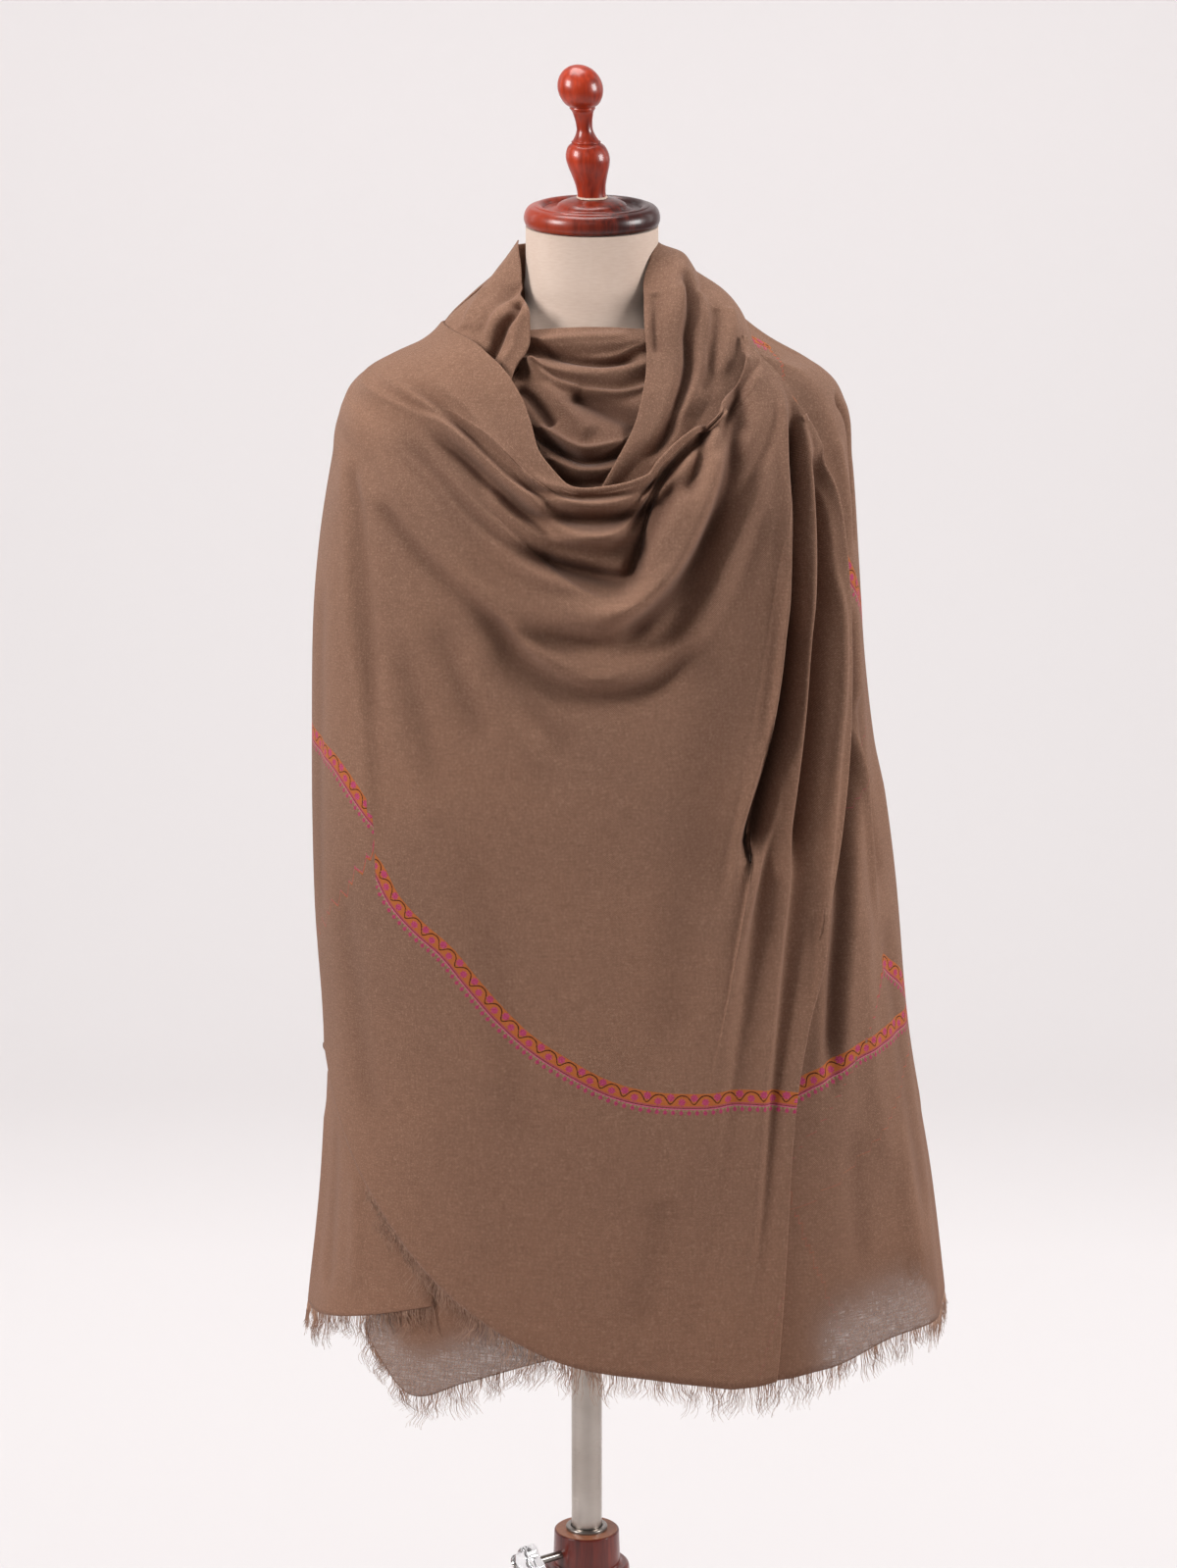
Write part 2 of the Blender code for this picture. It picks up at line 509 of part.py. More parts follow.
def torso(finish, parent, collection):
    """The linen body and neck: a loft through ovals, its neck cut square to the tilted cap."""
    turn = np.linspace(0, 2 * np.pi, TORSO_SIDES + 1)[:-1]
    rings = []
    for ring in TORSO_RINGS:
        depth = np.where(np.cos(turn) > 0, ring.front, ring.back)
        x = ring.side * np.sin(turn)
        y = -depth * np.cos(turn)
        lean = (ring.height - 1500) / (NECK_TOP - 1500) if ring.height > 1500 else 0.0
        z = ring.height + y * math.tan(CAP_TILT) * lean
        rings.append(np.stack([x, y, z + 0 * x], -1))
    vertices = np.concatenate(rings) * MM
    count = len(turn)
    faces = [tuple(reversed(range(count)))]
    for level in range(len(rings) - 1):
        for i in range(count):
            j = (i + 1) % count
            low, high = level * count, (level + 1) * count
            faces.append((low + i, low + j, high + j, high + i))
    faces.append(tuple(range((len(rings) - 1) * count, len(rings) * count)))
    mesh = bpy.data.meshes.new("form_torso")
    mesh.from_pydata(vertices.tolist(), [], faces)
    mesh.shade_smooth()
    return add_object("form_torso", mesh, finish, parent, collection)


def rod(name, start, end, radius, finish, parent, collection, vertices=20):
    """A plain round rod between two points, in millimetres."""
    start, end = Vector(start) * MM, Vector(end) * MM
    bpy.ops.mesh.primitive_cylinder_add(vertices=vertices, radius=radius * MM, depth=(end - start).length)
    made = bpy.context.object
    made.name = made.data.name = name
    made.rotation_euler = (end - start).to_track_quat("Z", "Y").to_euler()
    made.location = (start + end) / 2
    made.data.materials.append(finish)
    made.parent = parent
    for home in list(made.users_collection):
        home.objects.unlink(made)
    collection.objects.link(made)
    return made


def tube(name, path, radius, taper, finish, parent, collection):
    """A round bar along a path of points in millimetres, with filled caps."""
    data = bpy.data.curves.new(name, "CURVE")
    data.dimensions = "3D"
    data.bevel_depth = radius * MM
    data.bevel_resolution = 2
    data.use_fill_caps = True
    spline = data.splines.new("POLY")
    spline.points.add(len(path) - 1)
    for i, point in enumerate(path):
        spline.points[i].co = (point[0] * MM, point[1] * MM, point[2] * MM, 1.0)
        spline.points[i].radius = 1 + (taper - 1) * i / (len(path) - 1)
    data.materials.append(finish)
    made = bpy.data.objects.new(name, data)
    made.parent = parent
    collection.objects.link(made)
    return made


def clamp_knob(finish, parent, collection):
    """A four-lobed knob: its outline drawn round the screw's axis and given a rounded thickness."""
    data = bpy.data.curves.new("clamp_knob", "CURVE")
    data.dimensions = "2D"
    data.fill_mode = "BOTH"
    data.bevel_depth = 2.5 * MM
    data.bevel_resolution = 1
    data.extrude = ((KNOB_TO - KNOB_FROM) / 2 - 2.5) * MM
    outline = data.splines.new("POLY")
    outline.use_cyclic_u = True
    count = 32
    outline.points.add(count - 1)
    for i in range(count):
        turn = 2 * math.pi * i / count
        radius = (12.5 + 2.6 * math.cos(4 * turn)) * MM
        outline.points[i].co = (radius * math.cos(turn), radius * math.sin(turn), 0, 1)
    data.materials.append(finish)
    made = bpy.data.objects.new("clamp_knob", data)
    made.parent = parent
    outward = Vector((math.cos(CLAMP_TURN), math.sin(CLAMP_TURN), 0))
    made.rotation_euler = outward.to_track_quat("Z", "Y").to_euler()
    made.location = (outward * (KNOB_FROM + KNOB_TO) / 2 + Vector((0, 0, CLAMP_HEIGHT))) * MM
    collection.objects.link(made)
    return made


def build_shawl(axis, parts):
    shawl = material("pashmina", (0.26, 0.16, 0.115), 0.9)
    fringe_yarn = material("pashmina_yarn", (0.28, 0.17, 0.12), 0.95)
    stretches = {
        "shawl_front_fall": front_fall(),
        "shawl_right_fall": right_fall(),
        "shawl_back": back_fall(),
        "shawl_collar_right": collar(COLLAR_RIGHT, COLLAR_ROLLS)[::-1],
        "shawl_collar_left": collar(COLLAR_LEFT, COLLAR_ROLLS),
        "shawl_neck_inner": neck_cowl(),
        "shawl_under_left": layer(UNDER_HEM, -SIDE_TURN + SEAM_TURN, -34, 12, 60, 0),
        "shawl_under_corner": layer(CORNER_HEM, -52, -2, 13, 45, LAYER_STEP),
    }
    for name, cloth in stretches.items():
        cloth_wall(name, cloth, shawl, axis, parts)

    first_open = CREST_SAMPLES * (FIRST_HEM_FOLD + 2) + 1
    edges = {
        "fringe_front": stretches["shawl_front_fall"][first_open:, -1],
        "fringe_right": stretches["shawl_right_fall"][0],
        "fringe_back": stretches["shawl_back"][0],
        "fringe_under_left": stretches["shawl_under_left"][0],
        "fringe_under_corner": stretches["shawl_under_corner"][0],
    }
    for name, edge in edges.items():
        fringe(name, edge, fringe_yarn, axis, parts)


def build_form(axis, parts):
    linen = material("linen", (0.78, 0.66, 0.55), 0.85)
    lacquer = material("red_lacquer", (0.30, 0.05, 0.02), 0.15)
    steel = material("brushed_steel", (0.62, 0.58, 0.54), 0.3, 1.0)
    torso(linen, axis, parts)
    cap = turned("neck_cap", CAP_PROFILE, lacquer, axis, parts)
    cap.location = (0, 0, (NECK_TOP + SEAM) * MM)
    cap.rotation_euler = (CAP_TILT, 0, 0)
    finial = turned("finial", FINIAL_PROFILE, lacquer, cap, parts, FINIAL_STEPS)
    baked(finial).data.transform(Matrix.Shear("XY", 4, (-FINIAL_LEAN, math.tan(CAP_TILT) * 0.8)))
    finial.location = (0, 0, (CAP_PROFILE[0].height + SEAM) * MM)
    rod("pole", (0, 0, POLE_BOTTOM), (0, 0, TORSO_BOTTOM - 2 * SEAM), POLE_RADIUS, steel, axis, parts, 24)
    socket = turned("pole_socket", SOCKET_PROFILE, steel, axis, parts)
    socket.location = (0, 0, (TORSO_BOTTOM - SEAM - SOCKET_PROFILE[0].height) * MM)


def build_stand(axis, parts, cutters):
    mahogany = material("mahogany", (0.20, 0.035, 0.02), 0.2)
    steel = material("sleeve_steel", (0.60, 0.56, 0.52), 0.35, 1.0)
    acrylic = material("clear_acrylic", (0.9, 0.9, 0.9), 0.05)
    rubber = material("rubber", (0.02, 0.02, 0.02), 0.8)
    hub = turned("hub", HUB_PROFILE, mahogany, axis, parts)
    outward = Vector((math.cos(CLAMP_TURN), math.sin(CLAMP_TURN), 0))
    lift = Vector((0, 0, CLAMP_HEIGHT))
    hole = rod("clamp_hole", outward * 5 + lift, outward * 45 + lift, CLAMP_HOLE_RADIUS, mahogany, axis, cutters)
    hole.hide_render = True
    hole.display_type = "WIRE"
    cut = hub.modifiers.new("clamp_hole", "BOOLEAN")
    cut.object = hole
    sleeve = turned("sleeve", SLEEVE_PROFILE, steel, axis, parts)
    sleeve.location = (0, 0, (HUB_TOP + SEAM) * MM)
    reach = POLE_RADIUS + 0.5
    rod("clamp_screw", outward * reach + lift, outward * (KNOB_FROM - SEAM) + lift, SCREW_RADIUS, steel, axis,
        parts, 16)
    clamp_knob(acrylic, axis, parts)
    for number, degrees in enumerate(LEG_TURNS, 1):
        turn = math.radians(degrees)
        flat = COLUMN_BASE_RADIUS * math.cos(math.pi / TURN_STEPS) + SEAM
        path = [Turned(flat, LEG_PATH[0].height), *LEG_PATH[1:-1],
                Turned(FOOT_REACH, FOOT_HEIGHT + SEAM)]
        points = [(p.radius * math.cos(turn), p.radius * math.sin(turn), p.height) for p in path]
        tube(f"leg_{number}", points, LEG_RADIUS, LEG_TAPER, mahogany, axis, parts)
        foot = turned(f"foot_{number}", FOOT_PROFILE, rubber, axis, parts, FOOT_STEPS)
        foot.location = (FOOT_REACH * math.cos(turn) * MM, FOOT_REACH * math.sin(turn) * MM, 0)


def main():
    for old in list(bpy.data.objects):
        bpy.data.objects.remove(old, do_unlink=True)
    parts = bpy.data.collections.new("pashmina_shawl_on_dress_form")
    cutters = bpy.data.collections.new("cutters")
    bpy.context.scene.collection.children.link(parts)
    bpy.context.scene.collection.children.link(cutters)
    axis = bpy.data.objects.new("pole_axis", None)
    axis.location = POLE_AT
    parts.objects.link(axis)
    build_shawl(axis, parts)
    build_form(axis, parts)
    build_stand(axis, parts, cutters)


main()
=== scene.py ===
"""The finish of a pashmina shawl worn on a limbless dress form: cloth, embroidery, fringe, wood and light.

Every stretch of the shawl lies on one drape hull, a stack of oval rings around the pole's axis. A point of
cloth is a turn around that axis (0 at the front, + to the right, in degrees), a height and a rise off the
hull along its normal, both in millimetres. Meshes are made in metres.
"""
from __future__ import annotations

import logging
import math
from dataclasses import dataclass, field
from enum import Enum
from typing import Any, NamedTuple, Sequence

import bmesh
import bpy
import numpy as np
from mathutils import Matrix, Vector


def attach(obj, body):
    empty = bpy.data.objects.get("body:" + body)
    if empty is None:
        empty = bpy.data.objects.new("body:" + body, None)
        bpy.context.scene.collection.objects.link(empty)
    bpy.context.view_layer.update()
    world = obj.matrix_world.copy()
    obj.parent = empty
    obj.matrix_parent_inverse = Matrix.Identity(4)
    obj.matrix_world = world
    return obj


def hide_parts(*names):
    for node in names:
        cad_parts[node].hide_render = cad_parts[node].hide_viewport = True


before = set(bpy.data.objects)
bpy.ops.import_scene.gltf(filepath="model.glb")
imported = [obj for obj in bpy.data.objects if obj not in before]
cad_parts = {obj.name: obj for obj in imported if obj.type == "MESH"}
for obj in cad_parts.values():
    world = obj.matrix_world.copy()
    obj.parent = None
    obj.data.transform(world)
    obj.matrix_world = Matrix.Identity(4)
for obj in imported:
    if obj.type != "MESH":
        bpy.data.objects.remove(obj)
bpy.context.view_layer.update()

log = logging.getLogger("shawl")

MM = 0.001
POLE_AT = np.array((-0.0345, 0.0459, 0.0))
SIDE_TURN = 100.0
SHELL = 1.1               # thickness of the cloth's shell
MEAN_RADIUS = 0.235       # metres: the circle on which the weave is measured
BODY_RADIUS = 0.12        # metres: the same for the linen body
SEAT_GAP = 0.3            # between a turned piece and its seat
DEGREES = math.pi / 180
# folds are darkened in colour by painted shade, fully at this depth
FULL_SHADE_DEPTH = 14.0        # depth of a fold that is shaded the most
EDGE_ROWS = 10            # rows that a rolled edge adds to its stretch
FOLD_RAYS = 8             # rows of the front from one fold to the next
CROWDING = 1.15           # power that draws the front's stations towards the gather

Array = np.ndarray
Pair = tuple[float, float]
Colour = tuple[float, float, float]


class Slot(Enum):
    """Material slots of the record."""

    CLOTH = "pashmina"
    YARN = "pashmina_yarn"
    LINEN = "linen"
    LACQUER = "red_lacquer"
    MAHOGANY = "mahogany"
    STEEL = "brushed_steel"
    ACRYLIC = "clear_acrylic"
    RUBBER = "rubber"


class Body(Enum):
    """Bodies of the frame."""

    BASE = "base"
    POLE = "pole"
    FORM = "form"
    KNOB = "knob"


# ---------------------------------------------------------------- curves

def curve_through(knots: Sequence[float] | Array, values: Any, at: Any) -> Array:
    """Smooth curve through values at the knots, each slope taken from its neighbours.

    Args:
        knots: rising positions of the values.
        values: one value or vector for each knot.
        at: positions to read.

    Returns:
        The curve's values at those positions: a cubic Hermite piece between each two knots.
    """
    knots = np.asarray(knots, float)
    values = np.asarray(values, float)
    at = np.asarray(at, float)
    slopes = np.gradient(values, knots, axis=0)
    i = np.clip(np.searchsorted(knots, at) - 1, 0, len(knots) - 2)
    span = knots[i + 1] - knots[i]
    t = (at - knots[i]) / span
    extra = (None,) * (values.ndim - 1)
    t, span = t[(..., *extra)], span[(..., *extra)]
    ends = (1 + 2 * t) * (1 - t) ** 2 * values[i] + t * t * (3 - 2 * t) * values[i + 1]
    return ends + span * (t * (1 - t) ** 2 * slopes[i] + t * t * (t - 1) * slopes[i + 1])


def ease(value: Any) -> Array:
    """0 below 0, 1 above 1, and 3t² - 2t³ between."""
    t = np.clip(value, 0.0, 1.0)
    return t * t * (3 - 2 * t)


def unit(vectors: Array) -> Array:
    """Vectors divided by their length along the last axis."""
    return vectors / np.maximum(np.linalg.norm(vectors, axis=-1, keepdims=True), 1e-12)


def way_along(points: Array) -> Array:
    """Length of the way from a line's first point to each of its points."""
    return np.concatenate([[0], np.linalg.norm(np.diff(points, axis=0), axis=1).cumsum()])


def smooth_path(line: Sequence[Pair], fine: int) -> Array:
    """Points of (turn, height) on the smooth curve through a line, fine times as many."""
    return curve_through(np.linspace(0, 1, len(line)), line, np.linspace(0, 1, fine * len(line)))


def nearest_foot(points: Array, spine: Array) -> tuple[Array, Array, Array, Array]:
    """The nearest foot of each point on a line of straight pieces.

    Args:
        points: any points, one in a row.
        spine: the line's points.

    Returns:
        For each point: its distance, the number of the piece, the share of that piece before the foot,
        and the cross product of the piece with the way to the point.
    """
    run = np.diff(spine, axis=0)
    offset = points[:, None, :] - spine[:-1][None]
    share = np.clip((offset * run).sum(-1) / (run ** 2).sum(-1), 0, 1)
    gap = offset - share[..., None] * run
    distance = np.linalg.norm(gap, axis=-1)
    best = distance.argmin(1)
    row = np.arange(len(points))
    return distance[row, best], best, share[row, best], np.cross(run[best], gap[row, best])


# ---------------------------------------------------------------- the drape hull

class Ring(NamedTuple):
    """One oval of the hull: its height and its reach to the four sides of the axis, in millimetres."""

    height: float
    left: float
    right: float
    front: float
    back: float


@dataclass(frozen=True)
class DrapeHull:
    """The surface that every stretch of the shawl lies on."""

    rings: tuple[Ring, ...] = (
        Ring(600, 255, 322, 170, 152), Ring(675, 247, 314, 170, 150), Ring(805, 232, 298, 168, 145),
        Ring(910, 226, 279, 166, 140), Ring(1040, 232, 260, 163, 135), Ring(1180, 232, 242, 160, 132),
        Ring(1325, 226, 229, 152, 128), Ring(1415, 213, 222, 134, 120), Ring(1462, 203, 216, 114, 110),
        Ring(1484, 189, 203, 104, 104), Ring(1498, 168, 184, 96, 98), Ring(1512, 138, 158, 89, 93),
        Ring(1537, 112, 124, 80, 84), Ring(1570, 78, 86, 68, 74), Ring(1600, 62, 62, 62, 66),
    )
    squareness: float = 0.10

    def surface(self, turn: Any, height: Any) -> Array:
        """Points of the hull, in millimetres from the pole's axis.

        An oval at each height: x runs with the sine of the turn and y with minus its cosine, between the
        ring's four reaches, each swollen by squareness times the square of the other.

        Args:
            turn: degrees around the axis.
            height: millimetres above the floor.

        Returns:
            Points with a last axis of x, y and z.
        """
        table = np.array(self.rings, float)
        side = curve_through(table[:, 0], table[:, 1:], height)
        left, right, front, back = np.moveaxis(side, -1, 0)
        sine, cosine = np.sin(np.asarray(turn) * DEGREES), np.cos(np.asarray(turn) * DEGREES)
        x = (right - left) / 2 + (right + left) / 2 * sine * (1 + self.squareness * cosine ** 2)
        y = (back - front) / 2 - (back + front) / 2 * cosine * (1 + self.squareness * sine ** 2)
        return np.stack([x, y, np.asarray(height, float) + 0 * x], -1)

    def normal(self, turn: Any, height: Any) -> Array:
        """Outward unit normals: the cross product of a step around and a step up.

        Args:
            turn: degrees around the axis.
            height: millimetres above the floor.

        Returns:
            Unit vectors.
        """
        across = self.surface(turn + 0.5, height) - self.surface(turn - 0.5, height)
        up = self.surface(turn, height + 1) - self.surface(turn, height - 1)
        return unit(np.cross(across, up))

    def cloth(self, place: Array) -> Array:
        """Points of cloth coordinates (turn, height, rise): the hull's point plus rise along its normal."""
        turn, height, rise = np.moveaxis(place, -1, 0)
        return self.surface(turn, height) + self.normal(turn, height) * rise[..., None]


HULL = DrapeHull()


# ---------------------------------------------------------------- creases and folds

@dataclass(frozen=True)
class Crease:
    """A soft ridge or trough along a line of (turn, height): rise at its middle, and half its width.

    A step lifts the side that lies to the right of the line's run and lets it die away over its reach.
    """

    line: tuple[Pair, ...]
    rise: float
    width: float
    step: float = 0.0
    reach: float = 40.0
    fade: float = 0.14

    def relief(self, turn: Array, height: Array, points: Array) -> Array:
        """How far the crease moves each point of cloth.

        The nearest foot on the line gives a distance d, a side and a share s of the run. The ridge is
        rise times exp(-(d / width)²), and the step is half a hyperbolic tangent of the signed distance
        that dies with exp(-(d / reach)²). Both ease in and out over the ends of the run.

        Args:
            turn: degrees, one for each point.
            height: millimetres, one for each point.
            points: the hull's points there.

        Returns:
            Millimetres along the normal, one for each point.
        """
        path = smooth_path(self.line, 8)
        spine = HULL.surface(path[:, 0], path[:, 1])
        limit = 2.6 * max(self.width, self.reach if self.step else 0.0)
        near = ((turn > path[:, 0].min() - limit / 2) & (turn < path[:, 0].max() + limit / 2)
                & (height > path[:, 1].min() - limit) & (height < path[:, 1].max() + limit))
        out = np.zeros(turn.shape)
        if not near.any():
            return out
        d, best, before, turned = nearest_foot(points[near], spine)
        s = (best + before) / (len(spine) - 1)
        middle = (path[:-1] + path[1:]) / 2
        outward = HULL.normal(middle[:, 0], middle[:, 1])
        side = np.sign((turned * outward[best]).sum(-1))
        ends_in = ease(s / self.fade) * ease((1 - s) / self.fade)
        ridge = self.rise * np.exp(-(d / self.width) ** 2)
        ledge = -self.step * 0.5 * (side * np.tanh(d / self.width) - 1) * np.exp(-(d / self.reach) ** 2)
        out[near] = (ridge + ledge) * ends_in
        return out


def crease_relief(place: Array, creases: Sequence[Crease]) -> Array:
    """The sum of the creases' relief over a grid of cloth coordinates, in millimetres.

    Args:
        place: a grid of cloth coordinates.
        creases: the creases on it.

    Returns:
        Millimetres along the normal, one for each point.
    """
    turn, height = place[..., 0].ravel(), place[..., 1].ravel()
    points = HULL.surface(turn, height)
    total = np.zeros(turn.shape)
    for crease in creases:
        total += crease.relief(turn, height, points)
    return total.reshape(place.shape[:2])


def painted_fold_shade(relief: Array) -> Array:
    """Share of painted fold shade: 0 on open cloth and 1 at the bottom of a deep fold, from the creases'
    relief.
    """
    return np.clip(-relief / FULL_SHADE_DEPTH, 0, 1)


class Fold(NamedTuple):
    """A fold of the front: from the gather through near, knee and far to its end, with its rises."""

    name: str
    near: Pair
    knee: Pair
    far: Pair
    end: Pair
    rise: tuple[float, float, float]


GATHER = ((50.5, 1516.0), (47.0, 1501.0), (46.5, 1488.0), (46.8, 1473.0), (50.0, 1457.0))
GATHER_SHARES = (0.0, 0.3, 0.55, 0.75, 1.0)
GATHER_RISE = 7.0
GATHER_FADE = 0.25
STATIONS = (0.0, 0.2, 0.5, 0.78, 1.0)
FRONT_FOLDS = (
    Fold("throat_edge", (19, 1456), (-2, 1405), (-25, 1499), (-100, 1525), (9, 7, 5)),
    Fold("edge_crease", (19.3, 1452), (-1, 1400), (-29, 1466), (-100, 1513), (8, 5, 3)),
    Fold("throat_band", (19.6, 1449), (0, 1392), (-31, 1462), (-100, 1508), (6, 8, 5)),
    Fold("second_trough", (19.9, 1446), (0, 1379), (-33, 1458), (-100, 1503), (2, -3, 1)),
    Fold("second_roll", (20.1, 1443), (0, 1366), (-35, 1455), (-100, 1498), (-1, 10, 5)),
    Fold("second_under", (19.5, 1440), (0, 1352), (-37, 1450), (-100, 1494), (-3, -6, 1)),
    Fold("pocket", (18.5, 1435), (1, 1335), (-39, 1444), (-100, 1490), (-5, -2, 0)),
    Fold("rim_under", (17.9, 1429), (2.5, 1323), (-40, 1438), (-100, 1486), (-6, 2, 1)),
    Fold("big_roll_rim", (17.5, 1415), (4, 1314), (-41, 1431), (-100, 1481), (14, 12, 4)),
    Fold("big_roll_face", (24, 1402), (5, 1296), (-44, 1419), (-100, 1474), (17, 11, 3)),
    Fold("deep_fold", (29, 1390), (4, 1274), (-47, 1405), (-100, 1464), (-5, -5, -1)),
    Fold("third_crest", (33, 1388), (5, 1254), (-49, 1389), (-100, 1450), (8, 4, 2)),
    Fold("third_trough", (36, 1380), (6, 1235), (-52, 1370), (-100, 1432), (5, -2, 0)),
    Fold("belly_high", (38, 1374), (6, 1170), (-50, 1280), (-100, 1370), (6, 3, 2)),
    Fold("belly_middle", (39, 1371), (3, 1080), (-49, 1155), (-100, 1250), (6, 3, 2)),
    Fold("belly_low", (40, 1370), (2, 1000), (-49, 1025), (-100, 1095), (6, 3, 1)),
    Fold("side_corner", (40.4, 1370), (2, 940), (-47, 935), (-100, 927), (6, 3, 1)),
    Fold("hem_side", (40.8, 1371), (5, 935), (-38, 890), (-79, 904), (6, 3, 2)),
    Fold("hem_left", (41.2, 1372), (10, 950), (-20, 850), (-53, 813), (6, 3, 2)),
    Fold("hem_middle", (41.7, 1376), (16, 980), (-6, 815), (-30, 728), (7, 4, 2)),
    Fold("hem_right", (42.7, 1382), (24, 1040), (5, 800), (-11, 677), (8, 5, 2)),
    Fold("first_drop", (44, 1390), (35, 1205), (16, 890), (5, 661), (9, 10, 3)),
    Fold("first_gap", (47, 1390), (38, 1205), (19, 888), (9, 657.5), (-7, -9, -2)),
    Fold("first_strip", (49, 1390), (40.5, 1205), (22, 886), (12.5, 655), (2, 1, 0)),
    Fold("second_drop", (51, 1390), (43, 1202), (25, 885), (16, 652), (9, 10, 3)),
    Fold("second_gap", (54, 1390), (46, 1200), (27, 885), (18, 652), (-7, -9, -3)),
    Fold("second_strip", (57, 1390), (52, 1200), (29, 885), (21, 653), (3, 3, 2)),
    Fold("third_drop", (60, 1390), (58, 1200), (31, 885), (24, 656), (9, 10, 5)),
)
THROAT_LINE: tuple[Pair, ...] = (
    (50.5, 1516), (40, 1497), (29, 1472), (25, 1457), (20, 1446), (16, 1435), (13, 1423), (11, 1412),
    (7, 1407), (2, 1403), (-2, 1402), (-5, 1407), (-8, 1418), (-11, 1433), (-13, 1454), (-16, 1475),
    (-21, 1491), (-29, 1503), (-47, 1517), (-75, 1526), (-100, 1527))
THROAT_PULL = 2.4         # folds over which the throat's own line fades into the fan
FIRST_HEM_FOLD = [fold.name for fold in FRONT_FOLDS].index("side_corner")

RIGHT_HEM: tuple[Pair, ...] = ((24, 656), (33, 663), (51, 679), (79, 681), (100, 690))
BACK_HEM: tuple[Pair, ...] = ((100, 690), (140, 700), (180, 702), (220, 690), (260, 672))
UNDER_HEM: tuple[Pair, ...] = ((-100, 672), (-80, 678), (-61, 690), (-47, 702), (-34, 716))
CORNER_HEM: tuple[Pair, ...] = ((-55, 699), (-46, 660), (-39, 636), (-26, 652), (-14, 672), (-2, 686))
FRONT_HEM: tuple[Pair, ...] = tuple(fold.end for fold in FRONT_FOLDS[FIRST_HEM_FOLD:])


def hem_height(stations: Sequence[Pair], turn: Any) -> Array:
    """Height of a hem at a turn, on the smooth curve through its stations."""
    table = np.array(stations, float)
    return curve_through(table[:, 0], table[:, 1], turn)


def fold_fan(rays: Array, along: Array) -> Array:
    """The front's cloth coordinates, a loft of the fold lines.

    Each fold's five stations make one curve, and a second curve runs across the folds. The rise fades
    from the fold's own value to the gather's over the first quarter.

    Args:
        rays: positions across the folds, 0 at the throat.
        along: positions along them, 0 at the gather and 1 at the end.

    Returns:
        An array of (turn, height, rise), a row for each ray.
    """
    count = len(FRONT_FOLDS)
    start = curve_through(GATHER_SHARES, GATHER, np.arange(count) / (count - 1))
    table = np.zeros((count, len(STATIONS), 3))
    for k, fold in enumerate(FRONT_FOLDS):
        table[k] = ((*start[k], GATHER_RISE), (*fold.near, fold.rise[0]), (*fold.knee, fold.rise[1]),
                    (*fold.far, fold.rise[2]), (*fold.end, 0))
    by_ray = curve_through(np.arange(count), table, rays)
    fan = np.moveaxis(curve_through(STATIONS, np.moveaxis(by_ray, 1, 0), along), 0, 1)
    fan[..., 2] = GATHER_RISE + (fan[..., 2] - GATHER_RISE) * ease(np.asarray(along) / GATHER_FADE)
    return fan


def path_lengths(line: Array) -> Array:
    """Share of a line's length at each of its points of (turn, height), measured on the hull."""
    total = way_along(HULL.surface(line[:, 0], line[:, 1]))
    return total / total[-1]


def throat_shift(along: Array) -> Array:
    """How far the throat's edge lies from the fan's first fold, as (turn, height) for each station.

    Args:
        along: positions along the fan, 0 at the gather.

    Returns:
        The difference at each position.
    """
    first = fold_fan(np.zeros(1), along)[0, :, :2]
    knots = np.array(THROAT_LINE, float)
    line = curve_through(np.arange(len(knots)), knots, np.linspace(0, len(knots) - 1, 400))
    share, wanted = path_lengths(line), path_lengths(first)
    target = np.stack([np.interp(wanted, share, line[:, k]) for k in (0, 1)], -1)
    return target - first


# ---------------------------------------------------------------- meshes

@dataclass
class Patch:
    """A grid of points with its own coordinates, ready to become a mesh.

    points are in millimetres from the pole's axis, one row after another; weave and border are in metres,
    for each point, or for each corner where border has the shape of the faces. hollow is how much painted
    shade each point gets in its folds.
    """

    points: Array
    weave: Array
    border: Array | None = None
    sheer: Array | None = None
    hollow: Array | None = None


def grid_faces(rows: int, columns: int, wrap: bool = False) -> Array:
    """Corner numbers of the quads between neighbouring points of a grid, wound to face outwards.

    Args:
        rows: how many rows of points there are.
        columns: points in a row.
        wrap: whether each row closes on itself.

    Returns:
        Four corner numbers for each face.
    """
    index = np.arange(rows * columns).reshape(rows, columns)
    if wrap:
        index = np.concatenate([index, index[:, :1]], 1)
    return np.stack([index[:-1, :-1], index[:-1, 1:], index[1:, 1:], index[1:, :-1]], -1).reshape(-1, 4)


def make_object(name: str, points: Array, faces: Any) -> bpy.types.Object:
    """A mesh object at the origin, shaded smooth.

    Args:
        name: the piece's name.
        points: metres, in the frame's own place.
        faces: corner numbers.

    Returns:
        The new object, linked to the scene.
    """
    mesh = bpy.data.meshes.new(name)
    mesh.from_pydata(points.tolist(), [], faces.tolist() if isinstance(faces, np.ndarray) else faces)
    mesh.shade_smooth()
    made = bpy.data.objects.new(name, mesh)
    bpy.context.scene.collection.objects.link(made)
    return made


def add_corner_map(mesh: bpy.types.Mesh, name: str, values: Array) -> None:
    """Writes a UV map from values for each corner of the mesh."""
    layer = mesh.uv_layers.new(name=name)
    layer.uv.foreach_set("vector", values.astype(np.float32).ravel())


def corners_of(mesh: bpy.types.Mesh) -> Array:
    """The vertex number of each corner of a mesh.

    Args:
        mesh: the mesh.

    Returns:
        One number for each corner.
    """
    found = np.zeros(len(mesh.loops), np.int32)
    mesh.loops.foreach_get("vertex_index", found)
    return found


def thicken(made: bpy.types.Object, thickness: float) -> None:
    """Gives a shell its thickness, inwards, in millimetres.

    Args:
        made: the shell.
        thickness: millimetres.
    """
    wall = made.modifiers.new("cloth thickness", "SOLIDIFY")
    wall.thickness = thickness * MM
    wall.offset = -1.0
    wall.use_even_offset = False
    wall.use_rim = True


